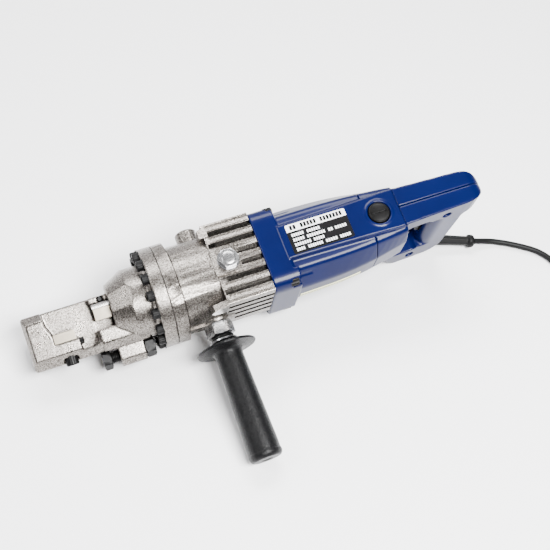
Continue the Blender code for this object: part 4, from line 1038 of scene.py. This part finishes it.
def label():
    plate = prism(rounded([(LABEL_X[0], -LABEL_HALF), (LABEL_X[1], -LABEL_HALF),
                           (LABEL_X[1], LABEL_HALF), (LABEL_X[0], LABEL_HALF)], 1.8, 5),
                  (SPINE_Z + 0.05, SPINE_Z + 0.5), "Z")
    piece("rating_plate", bevel(plate, 0.12, 2), "label_black", ["label_plate"])
    band = prism(rounded([(LABEL_X[0] + 0.3, BAND_Y), (LABEL_X[1] - 0.3, BAND_Y),
                          (LABEL_X[1] - 0.3, LABEL_HALF - 0.3),
                          (LABEL_X[0] + 0.3, LABEL_HALF - 0.3)], [0, 0, 1.6, 1.6], 5),
                 (SPINE_Z + 0.4, SPINE_Z + 0.58), "Z")
    piece("rating_plate_band", band, "label_white", ())
    header = word_bars(11.2, ((141.0, 148.0), (152.0, 168.5), (172.0, 195.0)), 4.6, 3.1, 0.74)
    piece("rating_plate_header", header, "label_black", ())
    rows = [word_bars(y, words, 2.9, 2.2, 0.7) for y, words in BAR_ROWS]
    piece("rating_plate_rows", merge(rows), "label_white", ())


def brush_cap():
    cap = lathe([(37.0, 10.2), (42.6, 10.6), (43.5, 10.5), (44.1, 9.8), (44.2, 8.6), (43.7, 7.6),
                 (43.5, 0.0)], "Z", (BRUSH_X, 0.0), 64)
    slot = box((BRUSH_X - 7.0, BRUSH_X + 7.0), (-0.8, 0.8), (42.4, 46.0))
    cut(cap, slot)
    piece("brush_cap_top", bevel(cap, 0.25), "black_plastic", ["brush_cap_upper"])
    low = lathe([(-37.0, 10.2), (-40.9, 10.6), (-41.4, 10.2), (-41.6, 8.6), (-41.2, 7.6),
                 (-41.2, 0.0)], "Z", (BRUSH_X, 0.0), 64)
    cut(low, box((BRUSH_X - 7.0, BRUSH_X + 7.0), (-0.8, 0.8), (-46.0, -40.2)))
    piece("brush_cap_bottom", bevel(low, 0.25), "black_plastic", ["brush_cap_lower"])


motor_housing()
motor_screws()
side_strip()
label()
brush_cap()


# Rear handle ----------------------------------------------------------

GRIP_FRONT_X = 285.0
SPLIT = 0.15
SHELL_SCREWS = {"upper": (299.0, 27.0), "lower": (279.0, -60.0)}      # x, z


def loop_outline():
    """The D-shaped loop from the side, in (x, z)."""
    rear = arc((326.0, 28.0), 15.0, 90.0, -40.0, 16)
    heel = arc((296.0, -52.0), 20.0, -8.0, -90.0, 12)
    toe = arc((266.0, -62.0), 10.0, -90.0, -140.0, 6)
    return ([(236.0, SPINE_Z)] + rear + arc((325.5, 9.0), 5.5, 60.0, 170.0, 6) + heel + toe
            + [(240.0, -41.0), (236.0, -41.0)])


def loop_opening():
    return rounded([(GRIP_FRONT_X, 25.0), (254.0, 25.0), (254.0, -47.0), (GRIP_FRONT_X, -47.0)],
                   9.0, 8)


def loop_plan():
    """The loop from above, in (x, y), with a rounded end."""
    side = [(230.0, 19.4), (244.0, 20.0), (262.0, 19.4), (285.0, 18.5), (305.0, 17.8),
            (318.0, 17.3), (325.0, 16.3), (331.0, 14.2), (335.5, 11.2), (338.6, 7.6),
            (340.5, 3.6), (341.0, 0.0)]
    return side + [(x, -y) for x, y in reversed(side[:-1])]


def handle_loop():
    loop = prism(loop_outline(), (-25.0, 25.0), "Y")
    return keep(loop, prism(loop_plan(), (-90.0, 60.0), "Z"))


def shell_cutters():
    axis = (GUARD_END - GUARD_START).normalized()
    turn = axis.to_track_quat("X", "Z").to_matrix().to_4x4()
    guard = rod("X", -12.0, 30.0, (0, 0), 6.5, 32, Matrix.Translation(GUARD_START) @ turn)
    cutters = [
        rod("X", 215.0, 239.6, (0, 0), 28.5, 48),
        rod("X", 239.0, 247.6, (0, 0), 10.2, 32),
        box((210.0, 250.15), (-30.0, 30.0), (38.65, 50.0)),
        box((210.0, 242.3), (-11.3, 11.3), (-46.0, -35.5)),
        box((290.5, 313.5), (-13.0, 13.0), (-42.0, 30.0)),
        box((GRIP_FRONT_X - 3.0, 292.0), (-7.2, 7.2), (-27.0, 21.0)),
        rod("Z", -60.0, -24.0, (BRUSH_X, 0.0), 11.4, 48),
        rod("Z", 24.0, 60.0, (BRUSH_X, 0.0), 11.4, 48),
        guard,
    ]
    for sign in (-1, 1):
        corner = box((280.0, 298.0), sorted((sign * 6.0, sign * 26.0)), (-44.0, 21.0))
        cutters.append(cut(corner, rod("Z", -50.0, 30.0, (298.0, sign * 5.0), 13.0, 48)))
    for centre in SHELL_SCREWS.values():
        cutters += [rod("Y", -40.0, -11.5, centre, 4.6, 32), rod("Y", -40.0, 11.0, centre, 2.2, 16)]
    return cutters


def handle_shells():
    halves = {"handle_left": (SPLIT, 60.0), "handle_right": (-60.0, -SPLIT)}
    for name, ys in halves.items():
        shell = body_between(218.3, 252.5)
        join(shell, handle_loop())
        cut(shell, prism(loop_opening(), (-30.0, 30.0), "Y"), *shell_cutters())
        keep(shell, box((200.0, 360.0), ys, (-100.0, 80.0)))
        piece(f"{name}_shell", cast_skin(shell, 0.8, 5), "blue", [name], 60.0)


def handle_fittings():
    profile = rounded([(294.0, 20.0), (287.0, 20.0), (281.0, 9.0), (277.8, -5.0), (280.0, -22.5),
                       (284.5, -25.0), (288.5, -23.0), (292.0, 0.0)], 1.6, 4)
    trigger = prism(profile, (-6.6, 6.6), "Y")
    cut(trigger, *[rod("Y", -8.0, 8.0, (277.0, z), 2.2, 16) for z in (-2.0, -6.0, -10.0, -14.0)])
    piece("trigger_lever", bevel(trigger, 0.8, 3), "black_plastic", ["trigger"],
          body=TRIGGER)
    for number, (end, (x, z)) in enumerate(SHELL_SCREWS.items(), 1):
        head = lathe([(9.0, 1.9), (-12.3, 1.9), (-12.4, 3.9), (-13.6, 3.9), (-14.6, 2.9),
                      (-14.9, 0.0)], "Y", (x, z), 32)
        for half_x, half_z in ((2.2, 0.45), (0.45, 2.2)):
            cut(head, box((x - half_x, x + half_x), (-16.0, -13.4), (z - half_z, z + half_z)))
        piece(f"shell_screw_{number}", head, "zinc", [f"handle_screw_{end}"])


handle_shells()
handle_fittings()


# Floor and light ------------------------------------------------------

FLOOR_REACH, FLOOR_Z = 5000.0, -0.3


def add_floor():
    bm = bmesh.new()
    corners = [(x * FLOOR_REACH, y * FLOOR_REACH, FLOOR_Z)
               for x, y in ((-1, -1), (1, -1), (1, 1), (-1, 1))]
    bm.faces.new(add_ring(bm, corners))
    floor = from_bmesh(bm)
    floor.data.transform(Matrix.Scale(MM, 4))
    floor.data.materials.append(new_look("floor_white", (0.93, 0.93, 0.935), 0.7)[0])
    floor.name = "floor"


def add_light(name, place, aim, size, power):
    data = bpy.data.lights.new(name, "AREA")
    data.shape = "RECTANGLE"
    data.size, data.size_y = size
    data.energy = power
    light = bpy.data.objects.new(name, data)
    bpy.context.scene.collection.objects.link(light)
    light.location = place
    light.rotation_euler = (Vector(aim) - Vector(place)).to_track_quat("-Z", "Y").to_euler()
    return light


def add_world():
    """A studio that is bright on the far side and dark behind the camera and overhead."""
    backdrop = bpy.data.worlds.new("studio")
    backdrop.use_nodes = True
    tree = backdrop.node_tree
    shade = tree.nodes["Background"]
    where = tree.nodes.new("ShaderNodeTexCoord")
    parts = tree.nodes.new("ShaderNodeSeparateXYZ")
    tree.links.new(where.outputs["Generated"], parts.inputs["Vector"])
    side = range_node(tree, parts.outputs["Y"], -1.0, 1.0, 0.0, 1.0)
    sky = ramp_node(tree, side.outputs["Result"], [
        (0.0, (0.16, 0.16, 0.16)), (0.35, (0.14, 0.14, 0.14)), (0.62, (0.22, 0.22, 0.23)),
        (0.85, (1.4, 1.4, 1.45)), (1.0, (2.2, 2.2, 2.25))])
    tree.links.new(sky.outputs["Color"], shade.inputs["Color"])
    shade.inputs["Strength"].default_value = 1.0
    bpy.context.scene.world = backdrop


def add_lights():
    add_light("key", (0.19, -0.72, 1.33), (0.0, 0.0, 0.03), (0.8, 0.62), 100.0)
    add_light("front", (-1.12, 0.22, 1.11), (-0.15, 0.05, 0.05), (0.5, 0.5), 13.0)
    add_light("far", (0.25, 1.05, 1.6), (0.05, 0.0, 0.03), (1.3, 0.6), 50.0)
    add_world()


add_floor()
add_lights()
